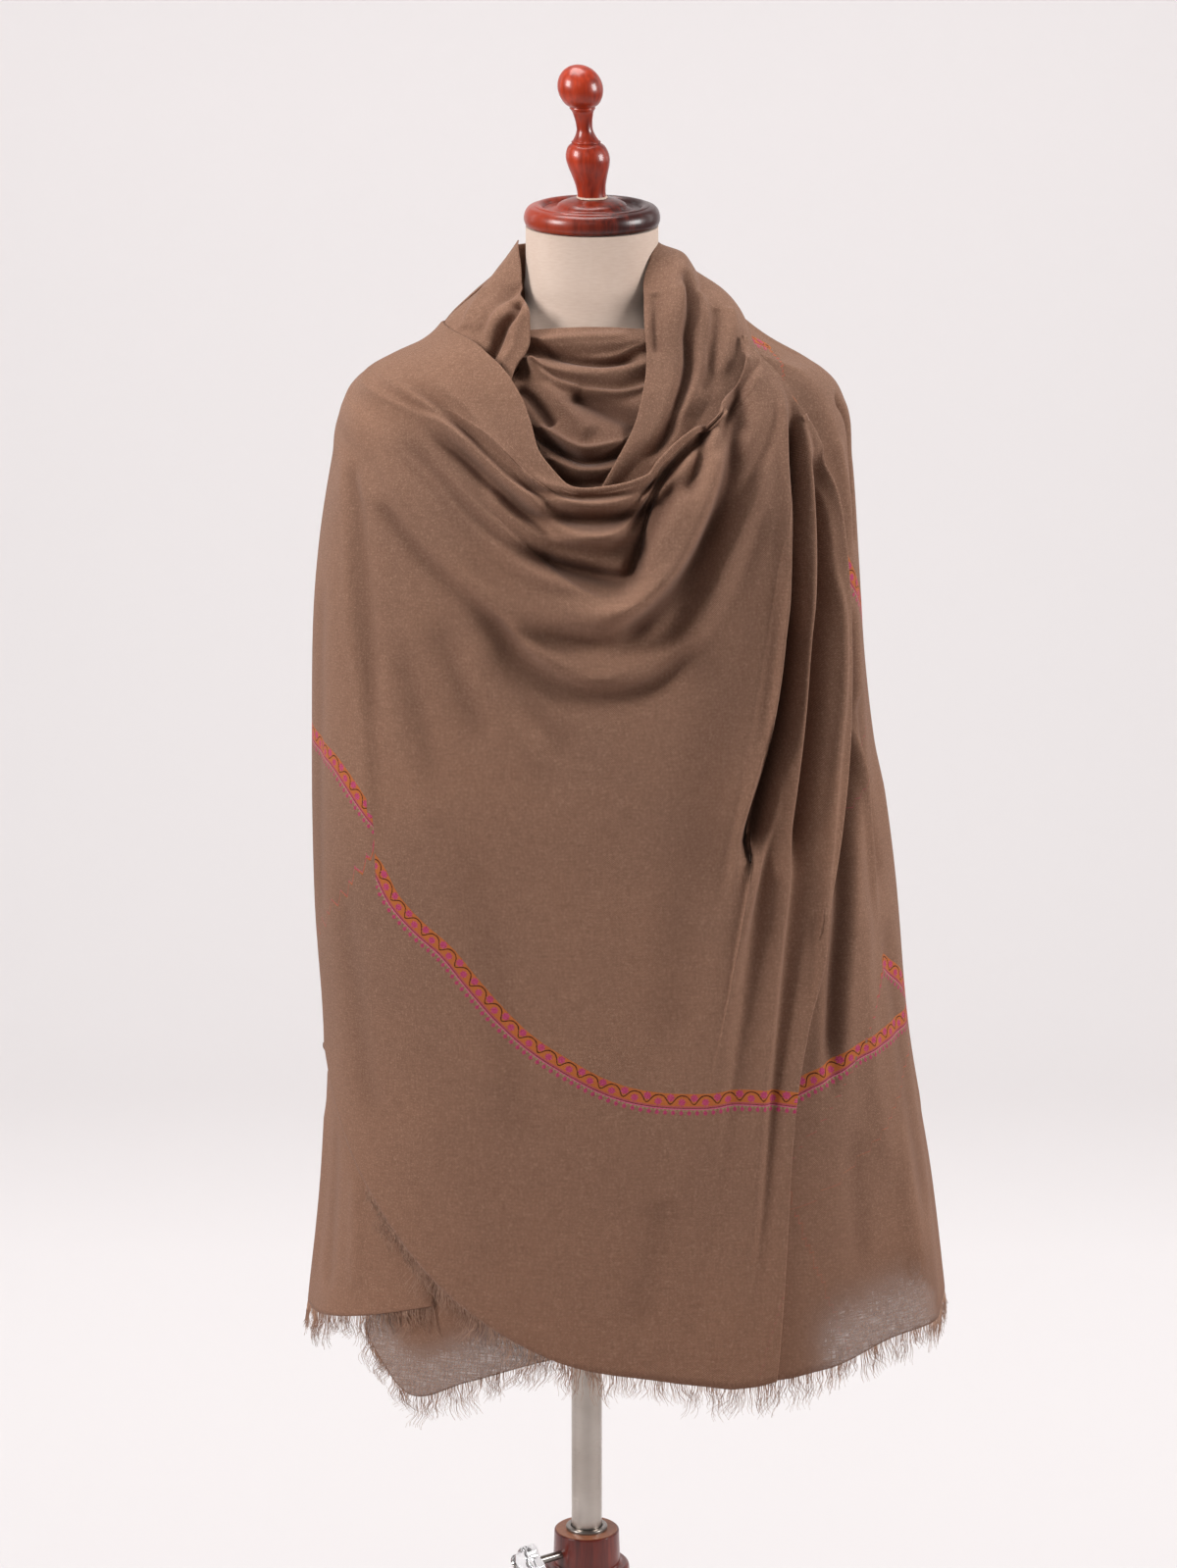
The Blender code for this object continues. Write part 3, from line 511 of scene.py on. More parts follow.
def surface_normals(grid: Array) -> Array:
    """Unit normals of a grid of points: the cross product of its two gradients."""
    return unit(np.cross(np.gradient(grid, axis=1), np.gradient(grid, axis=0)))


def hull_weave(place: Array) -> Array:
    """Weave coordinates of cloth coordinates: turn and height as lengths on the mean circle."""
    return np.stack([place[..., 0] * DEGREES * MEAN_RADIUS, place[..., 1] * MM], -1)


def weld(made: bpy.types.Object, distance: float = 1e-6) -> None:
    """Merges doubled points, drops faces without area and turns every face outwards.

    Args:
        made: the piece.
        distance: metres within which points are one.
    """
    work = bmesh.new()
    work.from_mesh(made.data)
    bmesh.ops.remove_doubles(work, verts=work.verts, dist=distance)
    bmesh.ops.dissolve_degenerate(work, edges=work.edges, dist=distance)
    bmesh.ops.recalc_face_normals(work, faces=work.faces)
    work.to_mesh(made.data)
    work.free()


def closed_piece(name: str, grid: Array, sharp: float = 50) -> bpy.types.Object:
    """A welded solid from rings of points.

    Args:
        name: the piece's name.
        grid: millimetres, one ring in a row.
        sharp: degrees between two faces from which their edge is sharp.

    Returns:
        The piece, at the origin.
    """
    made = make_object(name, grid.reshape(-1, 3) * MM, grid_faces(*grid.shape[:2], wrap=True))
    weld(made)
    made.data.set_sharp_from_angle(angle=math.radians(sharp))
    return made


def grid_lengths(grid: Array) -> Array:
    """Lengths along a grid's columns and rows, measured from its middle, in metres.

    Args:
        grid: points in millimetres.

    Returns:
        (across, along) for each point.
    """
    across = np.zeros(grid.shape[:2])
    along = np.zeros(grid.shape[:2])
    across[:, 1:] = np.linalg.norm(np.diff(grid, axis=1), axis=-1).cumsum(1)
    along[1:] = np.linalg.norm(np.diff(grid, axis=0), axis=-1).cumsum(0)
    across -= across[:, across.shape[1] // 2][:, None]
    along -= along[along.shape[0] // 2][None]
    return np.stack([across, along], -1) * MM


def surface_area(points: Array, faces: Array) -> float:
    """Area of quads, as the sum of their two triangles, in the square of the points' unit.

    Args:
        points: the quads' points.
        faces: their corner numbers.

    Returns:
        The area.
    """
    a, b, c, d = (points[faces[:, k]] for k in range(4))
    first = np.linalg.norm(np.cross(b - a, c - a), axis=1)
    second = np.linalg.norm(np.cross(c - a, d - a), axis=1)
    return float((first + second).sum() / 2)


# ---------------------------------------------------------------- shader boards

class Board:
    """A node tree with short ways to add and join nodes."""

    def __init__(self, tree: bpy.types.NodeTree) -> None:
        """Keeps the tree that the nodes go into."""
        self.tree = tree

    def add(self, kind: str, inputs: dict[Any, Any] | None = None, **settings: Any) -> bpy.types.Node:
        """A node of a kind.

        Args:
            kind: the node's type name.
            inputs: socket names or numbers, each with a value or the socket to link from.
            settings: the node's own properties.

        Returns:
            The new node.
        """
        node = self.tree.nodes.new(kind)
        for key, value in settings.items():
            setattr(node, key, value)
        for key, value in (inputs or {}).items():
            self.put(node.inputs[key], value)
        return node

    def put(self, socket: bpy.types.NodeSocket, value: Any) -> None:
        """Links an input to a socket, or sets it to a value or a colour.

        Args:
            socket: the input.
            value: a socket, a number, a vector or a colour.
        """
        if isinstance(value, bpy.types.NodeSocket):
            self.tree.links.new(value, socket)
        elif isinstance(value, tuple) and len(value) == 3 and socket.type == "RGBA":
            socket.default_value = (*value, 1.0)
        else:
            socket.default_value = value

    def feed(self, node: bpy.types.Node, **sockets: Any) -> None:
        """Puts values or sockets into a node's inputs by name, with underscores for spaces."""
        for key, value in sockets.items():
            self.put(node.inputs[key.replace("_", " ")], value)

    def math(self, operation: str, *values: Any, clamp: bool = False) -> bpy.types.NodeSocket:
        """The result of a Math node on one to three values or sockets."""
        node = self.add("ShaderNodeMath", dict(enumerate(values)), operation=operation, use_clamp=clamp)
        return node.outputs[0]

    def plus(self, first: Any, second: Any) -> bpy.types.NodeSocket:
        """The sum of two values."""
        return self.math("ADD", first, second)

    def minus(self, first: Any, second: Any, clamp: bool = False) -> bpy.types.NodeSocket:
        """The first value less the second."""
        return self.math("SUBTRACT", first, second, clamp=clamp)

    def times(self, first: Any, second: Any) -> bpy.types.NodeSocket:
        """The product of two values."""
        return self.math("MULTIPLY", first, second)

    def line(self, value: Any, factor: Any, offset: Any) -> bpy.types.NodeSocket:
        """The value times the factor, plus the offset."""
        return self.math("MULTIPLY_ADD", value, factor, offset)

    def share(self, value: Any, factor: Any, offset: Any) -> bpy.types.NodeSocket:
        """The value times the factor, plus the offset, kept between 0 and 1."""
        return self.math("MULTIPLY_ADD", value, factor, offset, clamp=True)

    def step_below(self, value: Any, edge: Any, soft: float) -> bpy.types.NodeSocket:
        """1 where the value is under the edge, 0 where it is over, with a soft change between."""
        return self.share(self.minus(edge, value), 1.0 / soft, 0.5)

    def mix(self, share: Any, first: Any, second: Any) -> bpy.types.NodeSocket:
        """A colour between two colours."""
        return self.add("ShaderNodeMix", {0: share, 6: first, 7: second}, data_type="RGBA").outputs[2]

    def place(self) -> bpy.types.NodeSocket:
        """Each point's own place on its piece."""
        return self.add("ShaderNodeTexCoord").outputs["Object"]

    def chart(self, name: str) -> bpy.types.NodeSocket:
        """A map of the piece."""
        return self.add("ShaderNodeUVMap", uv_map=name).outputs[0]

    def painted(self, name: str) -> bpy.types.NodeSocket:
        """A value that the piece carries at each point."""
        return self.add("ShaderNodeAttribute", attribute_name=name).outputs["Fac"]

    def parts(self, vector: Any) -> Any:
        """The three parts of a vector."""
        return self.add("ShaderNodeSeparateXYZ", {0: vector}).outputs

    def scaled(self, vector: Any, *scale: float, turn: float = 0.0) -> bpy.types.NodeSocket:
        """A vector turned about z and scaled in x, y and z."""
        settings = {"Vector": vector, "Rotation": (0.0, 0.0, turn), "Scale": scale}
        return self.add("ShaderNodeMapping", settings).outputs[0]

    def bump(self, height: Any, strength: float, distance: float, normal: Any = None) -> bpy.types.NodeSocket:
        """A normal that follows a height, upon another normal where one is given.

        Args:
            height: the height's socket.
            strength: how far the normal follows it.
            distance: metres of a height of 1.
            normal: the normal beneath it.

        Returns:
            The new normal.
        """
        settings = {"Strength": strength, "Distance": distance, "Height": height}
        if normal is not None:
            settings["Normal"] = normal
        return self.add("ShaderNodeBump", settings).outputs[0]

    def noise(self, place: Any, scale: float, detail: float = 2.0,
              rough: float = 0.5) -> bpy.types.NodeSocket:
        """The value of a noise texture, near 0.5 on average."""
        settings = {"Vector": place, "Scale": scale, "Detail": detail, "Roughness": rough}
        return self.add("ShaderNodeTexNoise", settings).outputs[0]


def new_group(name: str, inputs: dict[str, str], outputs: dict[str, str]) -> Board:
    """A shader node group with named sockets.

    Args:
        name: the group's name.
        inputs: socket names and their types (VECTOR, FLOAT or RGBA).
        outputs: the same, for what it puts out.

    Returns:
        A board on the group's tree, with its two end nodes as source and sink.
    """
    kinds = {"VECTOR": "NodeSocketVector", "FLOAT": "NodeSocketFloat", "RGBA": "NodeSocketColor"}
    tree = bpy.data.node_groups.new(name, "ShaderNodeTree")
    for way, sockets in (("INPUT", inputs), ("OUTPUT", outputs)):
        for label, kind in sockets.items():
            tree.interface.new_socket(name=label, in_out=way, socket_type=kinds[kind])
    board = Board(tree)
    board.source = board.add("NodeGroupInput")
    board.sink = board.add("NodeGroupOutput")
    return board


def new_material(name: str, **constants: Any) -> tuple[Board, bpy.types.Node]:
    """A material with one Principled shader.

    Args:
        name: the material's name.
        constants: shader sockets that hold one value all over, underscores for spaces.

    Returns:
        The material's board, which also holds the material, and its shader node.
    """
    made = bpy.data.materials.new(name)
    made.use_nodes = True
    board = Board(made.node_tree)
    board.material = made
    shader = made.node_tree.nodes["Principled BSDF"]
    board.feed(shader, **constants)
    return board, shader


def finish_piece(made: bpy.types.Object, material: bpy.types.Material, body: Body,
                 nodes: Sequence[str] = (), where: Matrix | None = None) -> None:
    """Moves a new piece to its place and joins it to its material, body and nodes.

    Args:
        made: the piece.
        material: its finish, all over.
        body: the body it moves with.
        nodes: solids that it replaces.
        where: its place, where its mesh isn't made there.
    """
    if where is not None:
        made.data.transform(where)
    made.data.materials.append(material)
    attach(made, body.value)
    if nodes:
        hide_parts(*nodes)
    log.info("%s: %d faces on %s", made.name, len(made.data.polygons), body.value)


# ---------------------------------------------------------------- the finishes

def linear(red: float, green: float, blue: float) -> Colour:
    """A colour given in screen values of 0 to 255, as linear light."""
    channels = [c / 255 for c in (red, green, blue)]
    return tuple(c / 12.92 if c <= 0.04045 else ((c + 0.055) / 1.055) ** 2.4 for c in channels)


@dataclass(frozen=True)
class TwillWeave:
    """The fine diagonal weave of the shawl: colour flecks and height, from weave coordinates."""

    pitch: float = 1.7
    group_name: str = "twill weave"

    def group(self) -> bpy.types.NodeTree:
        """The node group, made once.

        The twill is a sine across the diagonal sum of both coordinates, broken by a sine along each
        thread; the slubs are stretched noise in both directions.

        Returns:
            A group with Weave in, and Height, Fleck and Gap out.
        """
        if self.group_name in bpy.data.node_groups:
            return bpy.data.node_groups[self.group_name]
        board = new_group(self.group_name, {"Weave": "VECTOR"},
                          {"Height": "FLOAT", "Fleck": "FLOAT", "Gap": "FLOAT"})
        weave = board.source.outputs["Weave"]
        parts = board.parts(weave)
        scale = 2 * math.pi / (self.pitch * MM)
        wobble = board.noise(weave, 60.0, 3.0)
        drift = board.times(board.minus(wobble, 0.5), 9.0)
        diagonal = board.line(board.plus(parts[0], parts[1]), scale, drift)
        twill = board.math("SINE", diagonal)
        thread = board.math("SINE", board.line(parts[0], scale * 2.1, drift))
        height = board.line(thread, 0.35, twill)
        slub_across = board.scaled(weave, 60.0, 900.0, 1.0)
        slub_up = board.scaled(weave, 900.0, 60.0, 1.0)
        first = board.noise(slub_across, 1.0, 2.0)
        second = board.noise(slub_up, 1.0, 2.0)
        fleck = board.times(board.plus(first, second), 0.5)
        gap = board.times(board.step_below(first, 0.47, 0.16), board.step_below(second, 0.5, 0.16))
        board.feed(board.sink, Height=height, Fleck=fleck, Gap=gap)
        return board.tree


@dataclass(frozen=True)
class EmbroideredBorder:
    """The narrow border: a vine with round flowers on an orange ground, two lines and a row of buds.

    Lengths are millimetres. Along the border u, across it v, with v rising away from the hem.
    """

    repeat: float = 19.4
    half_band: float = 5.3
    swing: float = 3.6
    flower: float = 3.5
    petals: float = 7.0
    upper_at: float = 1.7
    lower_down: float = 1.9
    sprig_at: float = 9.0
    bud_at: float = 10.9
    bud: float = 1.9
    bud_petals: float = 5.0
    bud_repeat: float = 6.4
    orange: Colour = linear(184, 92, 46)
    ochre: Colour = linear(166, 104, 56)
    magenta: Colour = linear(142, 26, 66)
    pink: Colour = linear(196, 88, 124)
    maroon: Colour = linear(44, 16, 12)
    rose: Colour = linear(170, 74, 84)
    moss: Colour = linear(142, 132, 96)
    group_name: str = "embroidered border"

    def bloom(self, board: Board, along: Any, across: Any, petals: float, size: float) -> tuple[Any, Any]:
        """A round flower around a cell's middle.

        Its edge is the size times 0.86 + 0.14 cos(petals · angle), and its stitches are a sine of the
        angle with more turns.

        Args:
            board: where the nodes go.
            along: millimetres from the flower's middle, along the border.
            across: the same, across it.
            petals: how many petals.
            size: its radius.

        Returns:
            The flower's mask and its stitch pattern.
        """
        radius = board.math("SQRT", board.plus(board.times(along, along), board.times(across, across)))
        angle = board.math("ARCTAN2", across, along)
        wave = board.math("COSINE", board.times(angle, petals))
        edge = board.line(wave, 0.14 * size, 0.86 * size)
        mask = board.step_below(radius, edge, 0.6)
        stitch = board.math("SINE", board.line(angle, petals * 2, radius))
        return mask, stitch

    def cell(self, board: Board, along: Any, repeat: float, shift: float) -> Any:
        """Millimetres from the middle of the nearest repeat.

        Args:
            board: where the nodes go.
            along: millimetres along the border.
            repeat: millimetres from one repeat to the next.
            shift: share of a repeat by which the repeats are moved.

        Returns:
            The distance's socket, negative before the middle.
        """
        turns = board.line(along, 1 / repeat, shift)
        part = board.minus(board.math("FRACT", turns), 0.5)
        return board.times(part, repeat)

    def group(self) -> bpy.types.NodeTree:
        """The node group, made once.

        The vine is minus a cosine of the way along, leaned by half its sine, with a flower in each of its
        bends. Lines, sprigs and buds lie at their own distances down from the band's middle.

        Returns:
            A group with Border in, and Colour, Mask and Height out.
        """
        if self.group_name in bpy.data.node_groups:
            return bpy.data.node_groups[self.group_name]
        board = new_group(self.group_name, {"Border": "VECTOR"},
                          {"Colour": "RGBA", "Mask": "FLOAT", "Height": "FLOAT"})
        place = board.source.outputs["Border"]
        rough = board.noise(place, 1400.0, 2.0)
        jitter = board.times(board.minus(rough, 0.5), 1.6)
        parts = board.parts(place)
        u = board.line(parts[0], 1000.0, jitter)
        v = board.line(parts[1], 1000.0, jitter)
        phase = board.times(u, 2 * math.pi / self.repeat)
        lean = board.line(board.math("SINE", phase), 0.5, phase)
        vine = board.times(board.math("COSINE", lean), -self.swing)
        slope = board.times(board.math("SINE", lean), self.swing * 2 * math.pi / self.repeat)
        steep = board.math("SQRT", board.line(slope, slope, 1.0))
        off_vine = board.math("DIVIDE", board.math("ABSOLUTE", board.minus(v, vine)), steep)
        stem = board.step_below(off_vine, 0.45, 0.4)
        upper = self.bloom(board, self.cell(board, u, self.repeat, 0.5), board.minus(v, self.upper_at),
                           self.petals, self.flower)
        lower = self.bloom(board, self.cell(board, u, self.repeat, 0.02), board.plus(v, self.lower_down),
                           self.petals, self.flower * 0.94)
        stitches = board.scaled(place, 2600.0, 500.0, 1.0, turn=0.7)
        thread = board.noise(stitches, 1.0, 1.0)
        ground = board.step_below(board.math("ABSOLUTE", v), self.half_band, 0.6)
        colour = board.mix(board.share(thread, 2.4, -0.7), self.orange, self.ochre)
        for mask, stitch in (upper, lower):
            shade = board.mix(board.share(stitch, 0.8, 0.5), self.magenta, self.pink)
            colour = board.mix(mask, colour, shade)
        colour = board.mix(stem, colour, self.maroon)
        down = board.times(v, -1.0)
        for first, last, ink in ((5.3, 6.6, self.rose), (6.6, 7.2, self.maroon), (7.2, 8.3, self.pink)):
            middle = board.math("ABSOLUTE", board.minus(down, (first + last) / 2))
            line = board.step_below(middle, (last - first) / 2, 0.35)
            colour = board.mix(line, colour, ink)
            ground = board.math("MAXIMUM", ground, line)
        sprig = self.cell(board, u, self.bud_repeat / 2, 0.0)
        reach = board.math("ABSOLUTE", board.minus(down, self.sprig_at))
        stems = board.times(board.step_below(reach, 0.9, 0.4),
                            board.step_below(board.math("ABSOLUTE", sprig), 0.85, 0.5))
        colour = board.mix(stems, colour, self.moss)
        across = board.times(board.minus(down, self.bud_at), 0.8)
        buds = self.bloom(board, self.cell(board, u, self.bud_repeat, 0.0), across, self.bud_petals, self.bud)
        shade = board.mix(board.share(buds[1], 0.5, 0.4), self.magenta, self.pink)
        colour = board.mix(buds[0], colour, shade)
        mask = board.math("MAXIMUM", ground, board.math("MAXIMUM", stems, buds[0]))
        height = board.times(mask, board.line(thread, 0.7, 0.6))
        board.feed(board.sink, Colour=colour, Mask=mask, Height=height)
        return board.tree


@dataclass(frozen=True)
class PashminaFinish:
    """Fine taupe wool: a soft twill with a light nap, a sheen at grazing angles, the border, and painted
    shade in folds and twill.
    """

    warm: Colour = linear(150, 112, 91)
    cool: Colour = linear(131, 100, 84)
    rosy: Colour = linear(152, 108, 85)
    light: Colour = linear(176, 140, 118)
    dark: Colour = linear(100, 70, 54)
    # the colour of the painted shade at the bottom of deep folds
    painted_shade: Colour = linear(58, 32, 23)
    broad_scale: float = 5.0
    nap_scale: float = 420.0
    fibre_scale: float = 760.0
    rosy_share: float = 0.55
    fleck_share: float = 0.55
    fold_shade_share: float = 0.6

    def build(self, name: str, border: bool = False, sheer: bool = False) -> bpy.types.Material:
        """The cloth's material.

        Args:
            name: the material's name.
            border: whether the piece carries the embroidered border.
            sheer: whether part of the piece is loose and half see-through.

        Returns:
            The material.
        """
        board, shader = new_material(name, Roughness=0.9, Sheen_Weight=0.24, Sheen_Roughness=0.3,
                                     Sheen_Tint=linear(206, 190, 184), Specular_IOR_Level=0.18)
        weave = board.chart("weave")
        twill = board.add("ShaderNodeGroup", {0: weave}, node_tree=TwillWeave().group()).outputs
        place = board.place()
        broad = board.noise(place, self.broad_scale, 3.0, 0.55)
        nap = board.noise(place, self.nap_scale, 3.0, 0.65)
        colour = board.mix(board.share(broad, 2.2, -0.6), self.cool, self.warm)
        height = board.parts(place)[2]
        low = board.share(height, -2.2, 2.25)
        colour = board.mix(board.times(low, self.rosy_share), colour, self.rosy)
        fleck = board.share(twill["Fleck"], 2.6, -0.8)
        colour = board.mix(board.times(fleck, self.fleck_share), colour, self.dark)
        fibres = board.noise(place, self.fibre_scale, 2.0, 0.7)
        colour = board.mix(board.share(fibres, 3.0, -1.5), colour, self.light)
        # painted shade: the twill's low threads are darkened in colour
        weave_valley_shade = board.share(twill["Height"], -0.14, 0.14)
        colour = board.mix(weave_valley_shade, colour, self.dark)
        # painted shade: cloth deep in its folds is mixed towards the shade colour by the hollow attribute
        hollow = board.painted("hollow")
        colour = board.mix(board.times(hollow, self.fold_shade_share), colour, self.painted_shade)
        normal = board.bump(board.line(nap, 1.6, twill["Height"]), 0.35, 0.0004)
        if border:
            chart = board.chart("border")
            stitched = board.add("ShaderNodeGroup", {0: chart}, node_tree=EmbroideredBorder().group()).outputs
            colour = board.mix(stitched["Mask"], colour, stitched["Colour"])
            normal = board.bump(stitched["Height"], 0.5, 0.0006, normal)
        if sheer:
            share = board.painted("sheer")
            holes = board.line(twill["Gap"], 0.22, 0.32)
            alpha = board.minus(1.0, board.times(share, holes), clamp=True)
            board.feed(shader, Alpha=alpha)
        board.feed(shader, Base_Color=colour, Normal=normal)
        return board.material


@dataclass(frozen=True)
class YarnFinish:
    """Loose frayed yarn of the fringe."""

    light: Colour = linear(190, 152, 130)
    dark: Colour = linear(138, 102, 84)

    def build(self) -> bpy.types.Material:
        """The yarn's material: noise between two tones, with the wool's sheen.

        Returns:
            The material.
        """
        board, shader = new_material("frayed yarn", Roughness=0.9, Sheen_Weight=0.3, Sheen_Roughness=0.5,
                                     Sheen_Tint=linear(220, 196, 178), Specular_IOR_Level=0.15)
        place = board.place()
        tone = board.noise(place, 260.0, 2.0)
        colour = board.mix(board.share(tone, 2.0, -0.5), self.dark, self.light)
        board.feed(shader, Base_Color=colour)
        return board.material


@dataclass(frozen=True)
class LinenFinish:
    """Unbleached linen over the form: a plain weave of warp and weft."""

    light: Colour = linear(222, 201, 186)
    dark: Colour = linear(206, 180, 163)
    pitch: float = 1.1

    def build(self) -> bpy.types.Material:
        """The linen's material: two crossed sines for the weave, with slubs and slow stains.

        Returns:
            The material.
        """
        board, shader = new_material("linen", Roughness=0.85, Sheen_Weight=0.15, Specular_IOR_Level=0.25)
        weave = board.chart("weave")
        parts = board.parts(weave)
        scale = 2 * math.pi / (self.pitch * MM)
        cross = board.times(board.math("SINE", board.times(parts[0], scale)),
                            board.math("SINE", board.times(parts[1], scale)))
        slub = board.noise(board.scaled(weave, 60.0, 700.0, 1.0), 1.0)
        stain = board.noise(weave, 18.0, 3.0)
        tone = board.line(slub, 0.9, board.times(stain, 0.7))
        shade = board.share(cross, 0.12, board.minus(tone, 0.35))
        board.feed(shader, Base_Color=board.mix(shade, self.light, self.dark),
                   Normal=board.bump(board.plus(cross, slub), 0.3, 0.0003))
        return board.material


@dataclass(frozen=True)
class WoodFinish:
    """Turned wood under lacquer: a dark and a light tone along the grain, painted lighter on its left side.
    """

    name: str
    light: Colour
    dark: Colour
    shine: float = 0.12
    coat: float = 0.5
    patches: float = 9.0
    # per metre: the colour is painted lighter to the left of the pole and darker to its right, standing in
    # for the light from the left
    painted_side_light: float = 0.0

    def build(self) -> bpy.types.Material:
        """The wood's material: grain drawn by noise stretched along the turning axis, under a clear coat,
        with a painted highlight that grows towards the left.

        Returns:
            The material.
        """
        board, shader = new_material(self.name, Roughness=0.4, Coat_Weight=self.coat,
                                     Coat_Roughness=self.shine, Specular_IOR_Level=0.4)
        place = board.place()
        grain = board.noise(board.scaled(place, 240.0, 240.0, 14.0), 1.0, 5.0, 0.6)
        blotch = board.noise(place, self.patches, 3.0)
        tone = board.line(grain, 1.5, board.times(blotch, 1.4))
        # painted light: the tone rises to the left of the pole's axis and falls to its right
        sideways = board.parts(place)[0]
        painted_side_light = board.line(sideways, -self.painted_side_light, self.painted_side_light * float(POLE_AT[0]))
        tone = board.plus(tone, painted_side_light)
        colour = board.mix(board.minus(tone, 0.95, clamp=True), self.dark, self.light)
        board.feed(shader, Base_Color=colour, Roughness=board.line(grain, 0.2, 0.25))
        return board.material


@dataclass(frozen=True)
class SteelFinish:
    """Warm brushed steel."""

    light: Colour = linear(206, 198, 190)
    dark: Colour = linear(160, 148, 138)

    def build(self, name: str = "brushed steel") -> bpy.types.Material:
        """The steel's material: fine rings around the axis in colour and roughness.

        Args:
            name: the material's name.

        Returns:
            The material.
        """
        board, shader = new_material(name, Metallic=1.0, Roughness=0.3)
        place = board.place()
        rings = board.noise(board.scaled(place, 30.0, 30.0, 1800.0), 1.0, 3.0)
        smear = board.noise(place, 24.0, 3.0)
        board.feed(shader, Base_Color=board.mix(smear, self.dark, self.light),
                   Roughness=board.line(rings, 0.22, 0.2), Normal=board.bump(rings, 0.15, 0.0002))
        return board.material


@dataclass(frozen=True)
class AcrylicFinish:
    """Clear acrylic of the clamp knob."""

    tint: Colour = (0.95, 0.96, 0.97)

    def build(self) -> bpy.types.Material:
        """The acrylic's material: clear, with faint smudges in its roughness.

        Returns:
            The material.
        """
        board, shader = new_material("clear acrylic", Transmission_Weight=1.0, IOR=1.49, Base_Color=self.tint)
        smudge = board.noise(board.place(), 160.0, 3.0)
        board.feed(shader, Roughness=board.share(smudge, 0.16, 0.0))
        return board.material


@dataclass(frozen=True)
class RubberFinish:
    """Dark rubber of the feet."""

    tone: Colour = (0.02, 0.02, 0.021)
    dust: Colour = (0.09, 0.085, 0.08)

    def build(self) -> bpy.types.Material:
        """The rubber's material: near black, with a fine dusty mottle.

        Returns:
            The material.
        """
        board, shader = new_material("rubber", Roughness=0.75)
        dust = board.share(board.noise(board.place(), 220.0, 4.0), 0.5, -0.1)
        board.feed(shader, Base_Color=board.mix(dust, self.tone, self.dust))
        return board.material


# ---------------------------------------------------------------- the border's line on the cloth

@dataclass(frozen=True)
class BorderRun:
    """A run of the border: its middle line in (turn, height), from left to right, and where it applies."""

    line: tuple[Pair, ...]
    start: float = 0.0

    def chart(self, turn: Array, height: Array) -> Array:
        """Border coordinates of points: metres along the line, and metres to the line's left side.

        Args:
            turn: degrees, one for each point.
            height: millimetres, one for each point.

        Returns:
            (u, v) for each point, from the nearest foot on the line.
        """
        path = smooth_path(self.line, 12)
        spine = HULL.surface(path[:, 0], path[:, 1])
        length = way_along(spine)
        distance, best, before, turned = nearest_foot(HULL.surface(turn, height), spine)
        side = np.sign((turned * HULL.normal(turn, height)).sum(-1))
        along = length[best] + before * np.linalg.norm(np.diff(spine, axis=0), axis=1)[best]
        side = np.where((along <= 0) | (along >= length[-1]), 1.0, side)
        return np.stack([along + self.start, side * distance], -1) * MM


# ---------------------------------------------------------------- the shawl

